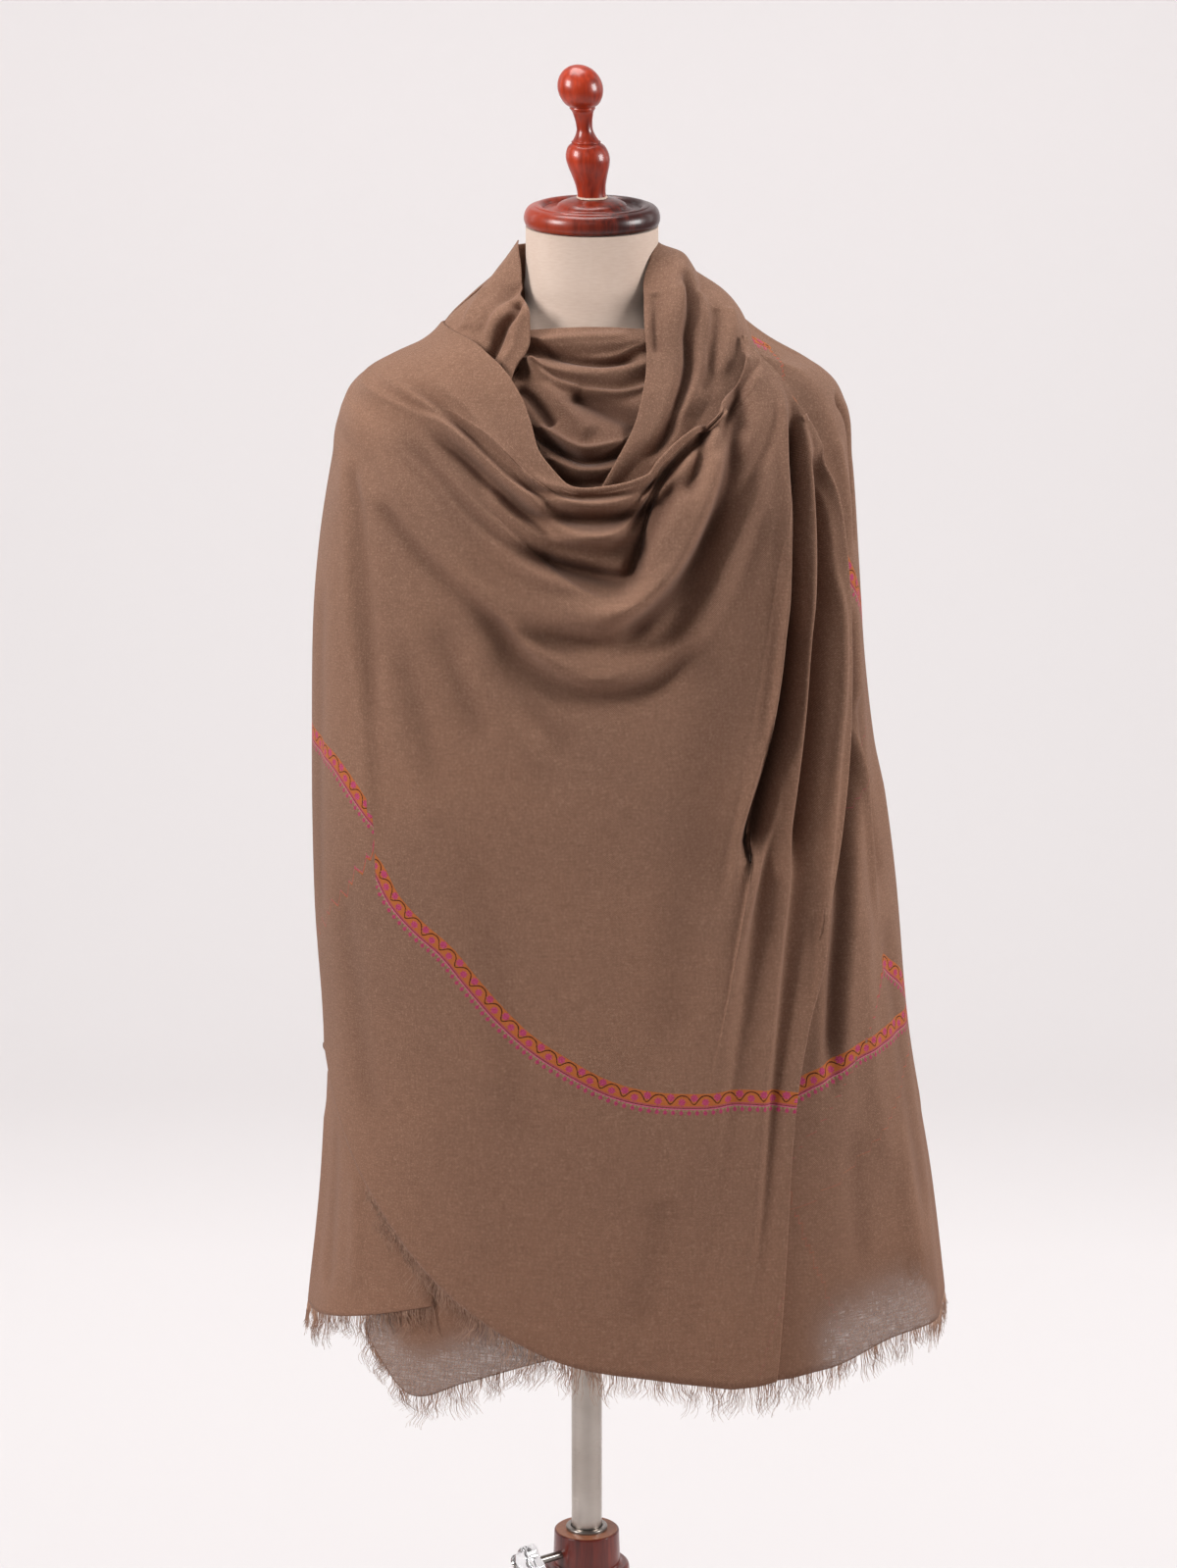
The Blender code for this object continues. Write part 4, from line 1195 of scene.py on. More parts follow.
@dataclass
class FringeMaker:
    """Frayed tufts along an edge of cloth: bundles of thin wavy yarns that draw together at their tips."""

    pitch: float = 9.0
    strands: int = 13
    length: float = 22.0
    radius: float = 0.28
    draw_in: float = 0.72
    taper: float = 0.62
    root_up: float = 1.2
    root_in: float = 0.55
    steps: int = 9
    sides: int = 3

    def tufts(self, name: str, edge: Array, normals: Array, seed: int) -> bpy.types.Object:
        """A piece with every tuft of one edge.

        Each yarn's middle runs down from its root, drawn to its tuft's tip by the way to the power 1.5, and
        swings sideways and outwards by sines whose size grows with the way. A triangle is carried along
        it, shrinking to its end.

        Args:
            name: the piece's name.
            edge: points of the hem, in millimetres from the pole's axis.
            normals: the cloth's outward normals there.
            seed: of the tufts' variety.

        Returns:
            The fringe as one object.
        """
        dice = np.random.default_rng(seed)
        length = way_along(edge)
        count = max(2, int(length[-1] / self.pitch))
        at = (np.arange(count) + 0.5 + dice.uniform(-0.3, 0.3, count)) / count * length[-1]
        yarns = count * self.strands
        tuft = np.repeat(np.arange(count), self.strands)
        spread = np.tile(np.linspace(-0.5, 0.5, self.strands), count) + dice.uniform(-0.12, 0.12, yarns)
        root_at = np.clip(at[tuft] + spread * self.pitch * 1.05, 0, length[-1])
        root = np.stack([np.interp(root_at, length, edge[:, k]) for k in range(3)], -1)
        outward = unit(np.stack([np.interp(root_at, length, normals[:, k]) for k in range(3)], -1))
        down = unit(outward * outward[:, 2:] - (0, 0, 1))
        tangent = unit(np.cross(down, outward))
        size = self.length * (dice.uniform(0.72, 1.3, count) ** 1.2)[tuft] * dice.uniform(0.66, 1.08, yarns)
        sway = dice.normal(0, 5.0, count)[tuft] + dice.normal(0, 1.3, yarns)
        wave = dice.uniform(1.2, 3.4, count)[tuft] * dice.uniform(0.7, 1.3, yarns)
        phase = dice.uniform(0, 2 * np.pi, count)[tuft] + dice.uniform(-0.6, 0.6, yarns)
        curl = dice.normal(0, 2.0, count)[tuft] + dice.normal(0, 0.9, yarns)
        way = np.linspace(0, 1, self.steps)
        draw = -spread[:, None] * self.pitch * self.draw_in * way ** 1.5
        aside = (draw + sway[:, None] * way ** 1.6
                 + wave[:, None] * way * np.sin(phase[:, None] + way * 5.2 * np.pi / 2))
        out = curl[:, None] * way ** 2 + 0.6 * wave[:, None] * way * np.cos(phase[:, None] + way * 6.0)
        middle = (root[:, None] + tangent[:, None] * aside[..., None]
                  + outward[:, None] * (out[..., None] - 0.5)
                  + down[:, None] * (size[:, None] * way)[..., None])
        middle[:, 0] = root - down * self.root_up - outward * self.root_in
        turn = np.arange(self.sides) / self.sides * 2 * np.pi
        thick = self.radius * (1 - self.taper * way)[None, :, None]
        ring = (tangent[:, None, None] * np.cos(turn)[:, None]
                - outward[:, None, None] * np.sin(turn)[:, None])
        points = middle[:, :, None] + ring * thick[..., None]
        per = self.steps * self.sides
        side = np.arange(self.sides)
        level = np.arange(self.steps - 1)
        low = (level[:, None] * self.sides + side).ravel()
        low_next = (level[:, None] * self.sides + (side + 1) % self.sides).ravel()
        quads = np.stack([low, low_next, low_next + self.sides, low + self.sides], -1)
        faces = (quads[None] + np.arange(yarns)[:, None, None] * per).reshape(-1, 4)
        caps = np.stack([side[::-1], side + per - self.sides], 0)
        ends = (caps[None] + np.arange(yarns)[:, None, None] * per).reshape(-1, self.sides)
        return make_object(name, points.reshape(-1, 3) * MM + POLE_AT, faces.tolist() + ends.tolist())


@dataclass
class Stretch:
    """One stretch of the shawl: a grid of cloth coordinates made a thin shell."""

    name: str
    node: str
    flat: Pair
    held: str
    rests_on: tuple[str, ...]
    creases: tuple[Crease, ...] = ()
    fringe: str = ""
    seed: int = 0
    rows: int = 120
    columns: int = 120

    def coordinates(self) -> Array:
        """The stretch's cloth coordinates, without its creases."""
        raise NotImplementedError

    def patch(self) -> Patch:
        """The stretch's points with its weave: turn and height as lengths on a mean circle.

        Returns:
            The patch, with how deep each point lies in its folds, which sets its painted shade.
        """
        place = self.coordinates()
        relief = crease_relief(place, self.creases)
        place[..., 2] += relief
        return Patch(HULL.cloth(place), hull_weave(place), hollow=painted_fold_shade(relief))

    def build(self, material: bpy.types.Material) -> bpy.types.Object:
        """The stretch as a thin piece.

        Args:
            material: the cloth's finish.

        Returns:
            The piece, with its maps, thickness and finish.
        """
        patch = self.patch()
        faces = grid_faces(*patch.points.shape[:2])
        flat_points = patch.points.reshape(-1, 3)
        made = make_object(self.name, flat_points * MM + POLE_AT, faces)
        corners = corners_of(made.data)
        add_corner_map(made.data, "weave", patch.weave.reshape(-1, 2)[corners])
        if patch.border is not None:
            add_corner_map(made.data, "border", patch.border.reshape(-1, 2))
        # sheer marks the loose weave; hollow carries the painted fold shade to the material
        for name, values in (("sheer", patch.sheer), ("hollow", patch.hollow)):
            if values is not None:
                layer = made.data.attributes.new(name, "FLOAT", "POINT")
                layer.data.foreach_set("value", values.astype(np.float32).ravel())
        thicken(made, SHELL)
        finish_piece(made, material, Body.FORM, [self.node])
        log.info("%s: %.4f square metres", self.name, surface_area(flat_points * MM, faces))
        return made


def rolled_edge(points: Array, side: int, radius: float, tuck: float, steps: int = 7) -> Array:
    """Extra rows that turn a stretch's edge under: half a circle, then a short way back behind the cloth.

    Args:
        points: the grid in millimetres, rows across the folds.
        side: 0 for the first row, -1 for the last.
        radius: of the turn.
        tuck: how far the cloth runs back behind itself.
        steps: rows in the half circle.

    Returns:
        The grid with the extra rows added at that side.
    """
    edge = points[side]
    inner = points[1] if side == 0 else points[-2]
    along = unit(np.gradient(edge, axis=0))
    outward = surface_normals(points)[side]
    away = edge - inner
    away = unit(away - (away * along).sum(-1, keepdims=True) * along
                - (away * outward).sum(-1, keepdims=True) * outward)
    angle = np.linspace(0, np.pi, steps + 1)[1:]
    grow = ease(np.linspace(0, 1, len(edge)) / 0.08)[:, None] * radius
    rows = [edge + away * grow * np.sin(a) - outward * grow * (1 - np.cos(a)) for a in angle]
    rows += [rows[-1] - away * tuck * share for share in (0.35, 0.7, 1.0)]
    extra = np.array(rows)
    return np.concatenate([extra[::-1], points]) if side == 0 else np.concatenate([points, extra])


RIDGE_LINE: tuple[Pair, ...] = ((-72, 1423), (-60, 1377), (-54, 1298), (-50, 1255), (-48, 1201), (-47, 1154),
                                (-46, 1110))
BORDER_LEFT = BorderRun(((-104, 1197), (-90, 1193), (-80, 1188), (-73, 1183), (-62, 1176), (-54, 1160),
                         (-46, 1135), (-41, 1118)))
BORDER_MIDDLE = BorderRun(((-52, 1112), (-45, 1090), (-41, 1066), (-35, 1044), (-29, 1025), (-24, 998),
                           (-19, 971), (-14, 950), (-7, 929), (-1, 914), (5, 906), (13, 903),
                           (22, 904), (32, 900), (40, 892)), 310.0)
BORDER_RIGHT = BorderRun(((24, 894), (33, 908), (37, 914), (42, 920), (50, 931), (60, 937), (74, 943),
                          (88, 945), (104, 946)), 905.0)
BORDER_SIDE = BorderRun(((50, 1474), (54, 1446), (59, 1416), (62, 1395), (65, 1372), (68, 1349), (71, 1332),
                         (75, 1317), (82, 1298), (91, 1280), (98, 1266)), 1300.0)
BORDER_CORNER = BorderRun(((70, 998), (77, 982), (84, 962), (89, 946)), 1500.0)
BORDER_SHOULDER = BorderRun(((60, 1526), (67, 1521), (74, 1514)), 1600.0)


@dataclass
class FrontFall(Stretch):
    """The front: a fan of folds from the gather on the right shoulder to the left side and the hem."""

    stations: int = 170
    throat_roll: float = 1.5
    throat_tuck: float = 5.0
    drop_roll: float = 2.1
    drop_tuck: float = 6.0

    def coordinates(self) -> Array:
        """The fan's cloth coordinates, with its turns kept in front of the left side.

        Returns:
            (turn, height, rise) for each point, a row for each ray.
        """
        rays = np.linspace(0, len(FRONT_FOLDS) - 1, FOLD_RAYS * (len(FRONT_FOLDS) - 1) + 1)
        along = np.linspace(0, 1, self.stations) ** CROWDING
        fan = fold_fan(rays, along)
        fan[..., :2] += throat_shift(along) * np.exp(-(rays / THROAT_PULL) ** 2)[:, None, None]
        fan[..., 0] = np.maximum(fan[..., 0], -SIDE_TURN)
        return fan

    def chart(self, place: Array) -> Array:
        """Border coordinates for the corners of each face.

        A face takes the left run where its middle is left of the ridge, and the middle run elsewhere.

        Args:
            place: the front's cloth coordinates.

        Returns:
            (u, v) for each corner of each face.
        """
        turn, height = place[..., 0].ravel(), place[..., 1].ravel()
        left, middle = BORDER_LEFT.chart(turn, height), BORDER_MIDDLE.chart(turn, height)
        faces = grid_faces(*place.shape[:2])
        centre_turn = turn[faces].mean(1)
        centre_height = height[faces].mean(1)
        ridge = np.array(RIDGE_LINE)[::-1]
        edge = np.interp(centre_height, ridge[:, 1], ridge[:, 0])
        is_left = (centre_turn < edge)[:, None, None]
        return np.where(is_left, left[faces], middle[faces])

    def patch(self) -> Patch:
        """The fan's points with its rolled edges, its weave, and its border.

        Returns:
            The patch.
        """
        made = super().patch()
        rolled = rolled_edge(made.points, 0, self.throat_roll, self.throat_tuck)
        rolled = rolled_edge(rolled, -1, self.drop_roll, self.drop_tuck)
        extra = ((EDGE_ROWS, EDGE_ROWS), (0, 0))
        wide = np.pad(self.coordinates(), (*extra, (0, 0)), mode="edge")
        hollow = np.pad(made.hollow, extra, mode="edge")
        return Patch(rolled, hull_weave(wide), self.chart(wide), np.zeros(rolled.shape[:2]), hollow)


def third_drop() -> Array:
    """Cloth coordinates of the front's last fold, top to bottom."""
    return fold_fan(np.array([len(FRONT_FOLDS) - 1.0]), np.linspace(0, 1, 80) ** CROWDING)[0]


@dataclass
class RightFall(Stretch):
    """Over the right shoulder and down that side, tucked under the front's last fold."""

    top: float = 1532.0
    rows_above: int = 14
    lap_turn: float = 1.0
    lap_drop: float = 4.0
    deep_drop: float = 8.0
    deep_from: float = 880.0
    tuck_turn: float = 3.5
    tuck_from: float = 930.0
    gather_turn: float = 5.0
    gather_from: float = 1455.0
    shoulder_drop: float = 4.0
    shoulder_from: float = 1490.0
    wave: float = 3.0
    waves_below: float = 1350.0
    sheer_height: float = 90.0

    def coordinates(self) -> Array:
        """A loft between the front's last fold and the side seam, from the hem up to the collar.

        Returns:
            (turn, height, rise) for each point, a row for each level from the hem up.
        """
        turns, heights, rises = third_drop().T
        above = np.linspace(self.top, heights[0], self.rows_above)[:-1]
        edge_height = np.concatenate([above, heights])
        edge_turn = np.concatenate([np.full(len(above), turns[0]), turns])
        edge_rise = np.concatenate([np.full(len(above), rises[0]), rises])
        pick = np.linspace(0, len(edge_height) - 1, self.rows)
        number = np.arange(len(edge_height))
        edge_height, edge_turn, edge_rise = (
            np.interp(pick, number, edge) for edge in (edge_height, edge_turn, edge_rise))
        left = (edge_turn - self.lap_turn - self.tuck_turn * ease((edge_height - self.tuck_from) / 120)
                - self.gather_turn * ease((edge_height - self.gather_from) / 20))
        across = np.linspace(0, 1, self.columns)
        fraction = (edge_height - edge_height[-1]) / (edge_height[0] - edge_height[-1])
        turn = left[:, None] + (SIDE_TURN - left[:, None]) * across
        bottom = hem_height(RIGHT_HEM, turn)
        height = bottom + (self.top - bottom) * fraction[:, None]
        blend = ease(across / 0.12)
        height = edge_height[:, None] * (1 - blend) + height * blend
        beyond = turn - edge_turn[:, None]
        under = ease((edge_height - self.deep_from) / 60)[:, None]
        inside = (edge_rise[:, None] - self.lap_drop) * (1 - under) - self.deep_drop * under
        shoulder = (-self.shoulder_drop * ease((height - self.shoulder_from) / 18)
                    * ease((SIDE_TURN - turn) / 8))
        waves = (self.wave * np.sin(beyond * 11 * DEGREES) * ease(beyond / 12)
                 * ease((self.waves_below - height) / 200))
        rise = np.minimum(inside * (1 - ease((beyond - 2) / 12)), shoulder)
        rise = rise + waves * ease((SIDE_TURN - turn) / 10)
        return np.stack([turn, height, rise], -1)[::-1]

    def patch(self) -> Patch:
        """The stretch's points with its weave, border and sheer corner.

        Returns:
            The patch.
        """
        made = super().patch()
        place = self.coordinates()
        turn, height = place[..., 0], place[..., 1]
        faces = grid_faces(*place.shape[:2])
        runs = (BORDER_RIGHT, BORDER_SIDE, BORDER_CORNER, BORDER_SHOULDER)
        charts = np.array([run.chart(turn.ravel(), height.ravel())[faces] for run in runs])
        nearest = np.abs(charts[..., 1].mean(-1)).argmin(0)
        made.border = charts[nearest, np.arange(len(faces))]
        above_hem = height - hem_height(RIGHT_HEM, turn)
        between = ease((82 - turn) / 22) * ease((turn - 26) / 12)
        made.sheer = ease((self.sheer_height - above_hem) / 70) * between
        return made


@dataclass
class BackFall(Stretch):
    """The back stretch, from the nape to its hem, between the side seams."""

    nape: float = 1592.0
    lap: float = 2.4
    lap_drop: float = 1.3
    fade: float = 20.0
    folds_below: float = 1480.0
    nape_pull: float = 5.0
    pull_from: float = 1550.0

    def coordinates(self) -> Array:
        """A loft around the back with soft uneven folds that die out at the sides and the shoulders.

        Returns:
            (turn, height, rise) for each point, a row for each level from the hem up.
        """
        turn = np.linspace(SIDE_TURN - self.lap, 360 - SIDE_TURN + self.lap, self.columns)
        bottom = hem_height(BACK_HEM, turn)
        level = np.linspace(0, 1, self.rows)[:, None]
        height = bottom + (self.nape - bottom) * level
        middle = ease((turn - SIDE_TURN) / self.fade) * ease((360 - SIDE_TURN - turn) / self.fade)
        folds = 5 * np.sin((turn * 9 + 14 * level) * DEGREES) + 3 * np.sin((turn * 5 - 40 * level) * DEGREES)
        beyond = np.maximum(SIDE_TURN + 1 - turn, turn + SIDE_TURN - 359)
        rise = folds * middle * ease((self.folds_below - height) / 250)
        rise = rise - self.lap_drop * ease(beyond / (self.lap + 1))
        rise = rise - self.nape_pull * ease((height - self.pull_from) / 42)
        return np.stack([turn + 0 * level, height, rise], -1)


class Section(NamedTuple):
    """A section across a collar roll: (turn, height, rise) at both edges, and how far the rolls swell."""

    inner: tuple[float, float, float]
    outer: tuple[float, float, float]
    roll: float


@dataclass
class NeckStretch(Stretch):
    """A stretch beside or across the neck."""

    def patch(self) -> Patch:
        """The stretch's points, with a weave measured on the cloth itself.

        Returns:
            The patch.
        """
        made = super().patch()
        made.weave = grid_lengths(made.points)
        return made


@dataclass
class Collar(NeckStretch):
    """A rolled stretch beside the neck: sections from the nape into the V, with rolls across them."""

    sections: tuple[Section, ...] = ()
    rolls: int = 2
    reverse: bool = False
    settle: float = 0.3

    def coordinates(self) -> Array:
        """A loft of the sections; each roll is a swelling by |sin| to the power 0.8 across it.

        Returns:
            (turn, height, rise) for each point, a row for each place along the roll.
        """
        knots = np.arange(len(self.sections))
        along = np.linspace(0, len(self.sections) - 1, self.rows)
        inner = curve_through(knots, [s.inner for s in self.sections], along)[:, None, :]
        outer = curve_through(knots, [s.outer for s in self.sections], along)[:, None, :]
        roll = curve_through(knots, [s.roll for s in self.sections], along)[:, None]
        across = np.linspace(0, 1, self.columns)
        place = inner + (outer - inner) * across[None, :, None]
        place[..., 2] = inner[..., 2] + (outer[..., 2] - inner[..., 2]) * ease(across / self.settle)
        place[..., 2] += roll * np.abs(np.sin(np.pi * self.rolls * across)) ** 0.8
        return place[::-1] if self.reverse else place


class Band(NamedTuple):
    """A line across the throat: its left, middle and right in (turn, height), and its rise."""

    name: str
    left: Pair
    middle: Pair
    right: Pair
    rise: float


@dataclass
class NeckCowl(NeckStretch):
    """The inner cowl: a loft through its bands, each a shallow sag across the throat."""

    bands: tuple[Band, ...] = (
        Band("top_edge", (-31, 1531), (-2, 1534), (25, 1533), -18),
        Band("top_band", (-29, 1521), (-3, 1520), (22, 1524), -10),
        Band("first_crease", (-27, 1516), (-5, 1510), (20, 1518), -17),
        Band("second_band", (-25, 1511), (-2, 1498), (18, 1508), -10),
        Band("hollow", (-23, 1505), (3, 1487), (17, 1500), -19),
        Band("wide_fold", (-20, 1490), (-1, 1462), (14, 1482), -10),
        Band("wide_rim", (-15, 1464), (-1, 1438), (11, 1460), -7),
        Band("rim_shadow", (-13, 1452), (-1, 1430), (9, 1446), -16),
        Band("low_rim", (-11, 1440), (-1, 1421), (8, 1432), -10),
        Band("tuck", (-9, 1412), (-1, 1398), (6, 1408), -15),
    )
    side_rise: float = -9.0
    # strength of the painted shade low in the throat
    shade: float = 0.55

    def coordinates(self) -> Array:
        """Rows through the bands; along each, the rise goes from the sides' value to the band's.

        Returns:
            (turn, height, rise) for each point, a row for each line across the throat.
        """
        table = np.array([(*b.left, *b.middle, *b.right, b.rise) for b in self.bands], float)
        rows = curve_through(np.arange(len(table)), table, np.linspace(0, len(table) - 1, self.rows))
        across = np.linspace(0, 1, self.columns)
        ends = np.stack([rows[:, 0:2], rows[:, 2:4], rows[:, 4:6]], 0)
        turn, height = np.moveaxis(curve_through((0.0, 0.5, 1.0), ends, across), -1, 0)
        side = np.minimum(self.side_rise, rows[:, 6])
        hold = ease(np.minimum(across, 1 - across) / 0.3)[:, None]
        rise = side + (rows[:, 6] - side) * hold
        return np.moveaxis(np.stack([turn, height, rise], -1), 0, 1)[::-1]

    def patch(self) -> Patch:
        """The stretch's points, with painted shade deep in the throat.

        Returns:
            The patch.
        """
        made = super().patch()
        # painted shade, growing down the throat below 1508 mm
        painted_shade = ease((1508 - self.coordinates()[..., 1]) / 34)
        made.hollow = np.clip(made.hollow + self.shade * painted_shade, 0, 1)
        return made


@dataclass
class UnderLayer(Stretch):
    """A layer behind the front, from its own hem up to above the front's hem."""

    hem: tuple[Pair, ...] = ()
    first_turn: float = -100.0
    last_turn: float = -34.0
    tuck: float = 60.0
    inset: float = 0.0
    drop: float = 7.5
    sheer: float = 0.0

    def coordinates(self) -> Array:
        """A loft from the hem to a line above the front's hem, a little inside the front.

        Returns:
            (turn, height, rise) for each point, a row for each level from the hem up.
        """
        turn = np.linspace(self.first_turn, self.last_turn, self.columns)
        bottom = hem_height(self.hem, turn)
        front = hem_height(FRONT_HEM, turn)
        level = np.linspace(0, 1, self.rows)[:, None]
        height = bottom + (front + self.tuck - bottom) * level
        turn = turn + 0 * level
        rise = -self.drop * np.maximum(ease((turn + SIDE_TURN) / 20), ease((height - front + 50) / 30))
        return np.stack([turn, height, rise - self.inset], -1)

    def patch(self) -> Patch:
        """The stretch's points, sheer towards its hem.

        Returns:
            The patch.
        """
        made = super().patch()
        place = self.coordinates()
        above = place[..., 1] - hem_height(self.hem, place[..., 0])
        made.sheer = self.sheer * ease((70 - above) / 50)
        return made


COLLAR_RIGHT = (
    Section((101, 1597, -6), (101, 1536, 3), 1), Section((82, 1597, -7), (94, 1537, 3), 3),
    Section((62, 1591, -12), (87, 1536, 3), 5), Section((38, 1573, -18), (78, 1531, 2), 6),
    Section((25, 1553, -15), (65, 1520, 0), 6), Section((16, 1524, -7), (52, 1500, -6), 5),
    Section((11, 1488, -5), (43, 1476, -12), 3), Section((8, 1455, -5), (33, 1450, -12), 2),
    Section((4, 1423, -5), (21, 1427, -12), 1), Section((1, 1400, -6), (12, 1400, -12), 0),
)
COLLAR_LEFT = (
    Section((-101, 1597, -6), (-101, 1515, -3), 1), Section((-86, 1593, -9), (-92, 1514, -3), 1),
    Section((-70, 1581, -15), (-86, 1512, -3), 1.5), Section((-52, 1566, -19), (-80, 1508, -4), 2),
    Section((-37, 1556, -14), (-74, 1503, -5), 3), Section((-26, 1543, -4), (-64, 1496, -6), 5),
    Section((-22, 1520, -2), (-52, 1487, -8), 4), Section((-20, 1495, -4), (-40, 1476, -10), 2),
    Section((-17, 1466, -6), (-30, 1456, -12), 0),
)

FRONT_CREASES = (
    # the throat's band and the two rolls under it
    Crease(((-57, 1506), (-42, 1488), (-28, 1467), (-19, 1436), (-13, 1414), (-6, 1404), (-1, 1401),
            (7, 1405), (11, 1416), (18, 1442), (29, 1477)), 3.0, 4.0),
    Crease(((-55, 1495), (-32, 1462), (-21, 1430), (-14, 1408), (-8, 1400), (-1, 1397), (8, 1401), (13, 1413),
            (19, 1437)), -4.5, 3.0),
    Crease(((-58, 1490), (-36, 1462), (-25, 1433), (-16, 1408), (-10, 1397), (0, 1391), (9, 1395), (16, 1410),
            (22, 1438), (33, 1485)), 4.5, 4.5),
    Crease(((-38, 1452), (-27, 1430), (-20, 1408), (-15, 1392), (-10, 1382), (0, 1380), (7, 1383), (12, 1393),
            (19, 1410)), -9.5, 5.5),
    Crease(((-23, 1420), (-17, 1390), (-10, 1369), (-5, 1364), (1, 1366), (7, 1368), (12, 1375)), 6.5, 5.0),
    Crease(((-47, 1448), (-34, 1420), (-24, 1387), (-15, 1360), (-7, 1346), (0, 1338), (7, 1332)), -6.0, 6.0),
    Crease(((-16, 1362), (-9, 1349), (-5, 1342), (1, 1336), (7, 1334), (9, 1347), (11, 1369), (14, 1392),
            (16, 1408), (20, 1430)), -12.0, 7.0),
    # the planes and rolls at the left
    Crease(((-47, 1437), (-33, 1401), (-23, 1367), (-15, 1339), (-7, 1323), (0, 1318)), -2.6, 5.0),
    Crease(((-54, 1432), (-43, 1400), (-32, 1368), (-22, 1333), (-14, 1312), (-7, 1302), (0, 1302), (7, 1312),
            (12, 1332)), 6.0, 10.0),
    Crease(((-50, 1392), (-43, 1376), (-32, 1343), (-22, 1315), (-15, 1292), (-7, 1283), (0, 1280),
            (7, 1285)), -6.0, 7.0),
    Crease(((42, 1495), (33, 1481), (29, 1448), (28, 1418), (25, 1383), (20, 1347), (15, 1317), (9, 1294),
            (3, 1277)), -16.0, 9.0),
    Crease(((-16, 1300), (-13, 1290), (-7, 1266), (-2, 1253), (3, 1255), (10, 1269), (16, 1282)), 4.0, 5.5),
    Crease(((-24, 1318), (-16, 1284), (-11, 1261), (-6, 1244), (0, 1235), (5, 1235), (11, 1246), (16, 1263),
            (22, 1284)), -9.0, 8.5),
    Crease(((-44, 1257), (-40, 1234), (-37, 1203), (-33, 1163), (-30, 1115)), 3.2, 13.0),
    Crease(((-40, 1274), (-35, 1239), (-32, 1195), (-29, 1147)), -3.2, 12.0),
    Crease(((-31, 1296), (-26, 1265), (-23, 1237), (-19, 1198)), -3.6, 12.0),
    Crease(((-23, 1281), (-18, 1246), (-13, 1211), (-8, 1175)), 3.2, 13.0),
    Crease(((-18, 1282), (-14, 1250), (-9, 1219), (-3, 1187)), -3.6, 12.0),
    Crease(RIDGE_LINE, 2.4, 6.0, step=2.6, reach=42.0),
    Crease(((-64, 1425), (-57, 1380), (-50, 1319), (-47, 1262), (-44, 1200)), -4.5, 9.0),
    # the gather and the drops on the right
    Crease(((40, 1505), (30, 1488), (24, 1463), (22, 1437), (20, 1411), (17, 1394)), -10.0, 5.0),
    Crease(((44, 1503), (37, 1494), (28, 1472), (25, 1448), (22, 1425)), 3.5, 3.5),
    Crease(((45, 1500), (36, 1484), (29, 1462), (26, 1440), (24, 1420)), -4.0, 3.5),
    Crease(((45, 1498), (38, 1487), (31, 1470), (27, 1440), (24, 1410), (22, 1386), (19, 1356), (14, 1332),
            (9, 1314), (4, 1305), (-2, 1303)), 8.0, 8.0),
    Crease(((44, 1490), (43, 1468), (42, 1444), (42, 1399), (41, 1353), (40, 1306), (38, 1259), (35, 1212),
            (31, 1169), (27, 1129), (25, 1097), (22, 1040)), 5.0, 4.6),
    Crease(((46, 1470), (46, 1438), (46, 1399), (45, 1352), (44, 1305), (42, 1257), (39, 1209), (35, 1169),
            (31, 1130), (27, 1096)), -20.0, 6.0),
    Crease(((44, 1310), (42, 1262), (38.5, 1218), (34, 1172), (30, 1132), (26, 1096)), -14.0, 9.0),
    Crease(((47, 1470), (48, 1444), (49, 1413), (48, 1367), (47, 1320), (45, 1281), (42, 1234), (38, 1187),
            (35, 1139), (31, 1100), (27, 1060), (23, 1010)), 6.0, 4.0),
    Crease(((53, 1430), (55, 1413), (55, 1366), (55, 1318), (52, 1270), (49, 1223), (45, 1175), (41, 1128),
            (37, 1080)), -12.0, 9.0),
    Crease(((50, 1446), (54, 1410), (57, 1381), (58, 1333), (59, 1293), (57, 1237), (53, 1181), (49, 1126),
            (45, 1070), (42, 1022), (39, 973), (36, 924)), 5.0, 4.0),
    Crease(((36, 1400), (33, 1330), (29, 1250), (23, 1150), (18, 1050)), -3.4, 16.0),
    Crease(((22, 1290), (21, 1220), (17, 1130), (12, 1020), (8, 920)), -3.4, 18.0),
    Crease(((-6, 1180), (-4, 1080), (-3, 980), (-4, 900)), 2.4, 20.0),
    Crease(((-24, 1130), (-20, 1030), (-18, 930), (-18, 850)), -2.4, 18.0),
    Crease(((-72, 1330), (-72, 1230), (-74, 1120), (-76, 1010)), -3.0, 13.0),
    Crease(((-60, 1090), (-57, 1010), (-55, 930), (-50, 860)), -2.8, 14.0),
    Crease(((6, 820), (4, 760), (1, 700)), -2.6, 13.0),
    Crease(((-40, 880), (-30, 820), (-22, 760)), 2.6, 14.0),
)
RIGHT_CREASES = (
    Crease(((72, 1300), (70, 1272), (68, 1232), (63, 1168), (57, 1113), (53, 1057), (48, 1000), (44, 943),
            (40, 880)), -12.0, 8.0),
    Crease(((60, 1330), (62, 1300), (65, 1258), (66, 1209), (67, 1158), (68, 1100), (69, 1030)), 6.0, 5.0),
    Crease(((73, 1230), (73, 1180), (73, 1120), (74, 1060)), -6.0, 10.0),
    Crease(((72, 1470), (77, 1456), (81, 1423), (79, 1384), (77, 1343)), -9.0, 6.0),
    Crease(((66, 1440), (70, 1410), (72, 1380), (72, 1340)), 3.0, 7.0),
    Crease(((62, 1060), (58, 980), (56, 900), (55, 800)), 3.4, 13.0),
    Crease(((74, 1040), (72, 960), (70, 860), (70, 760)), -4.0, 14.0),
    Crease(((88, 1180), (88, 1060), (88, 940), (86, 820)), 3.4, 15.0),
    Crease(((46, 870), (44, 810), (43, 740)), -3.0, 12.0),
    Crease(((62, 860), (62, 780), (63, 710)), 2.6, 11.0),
)
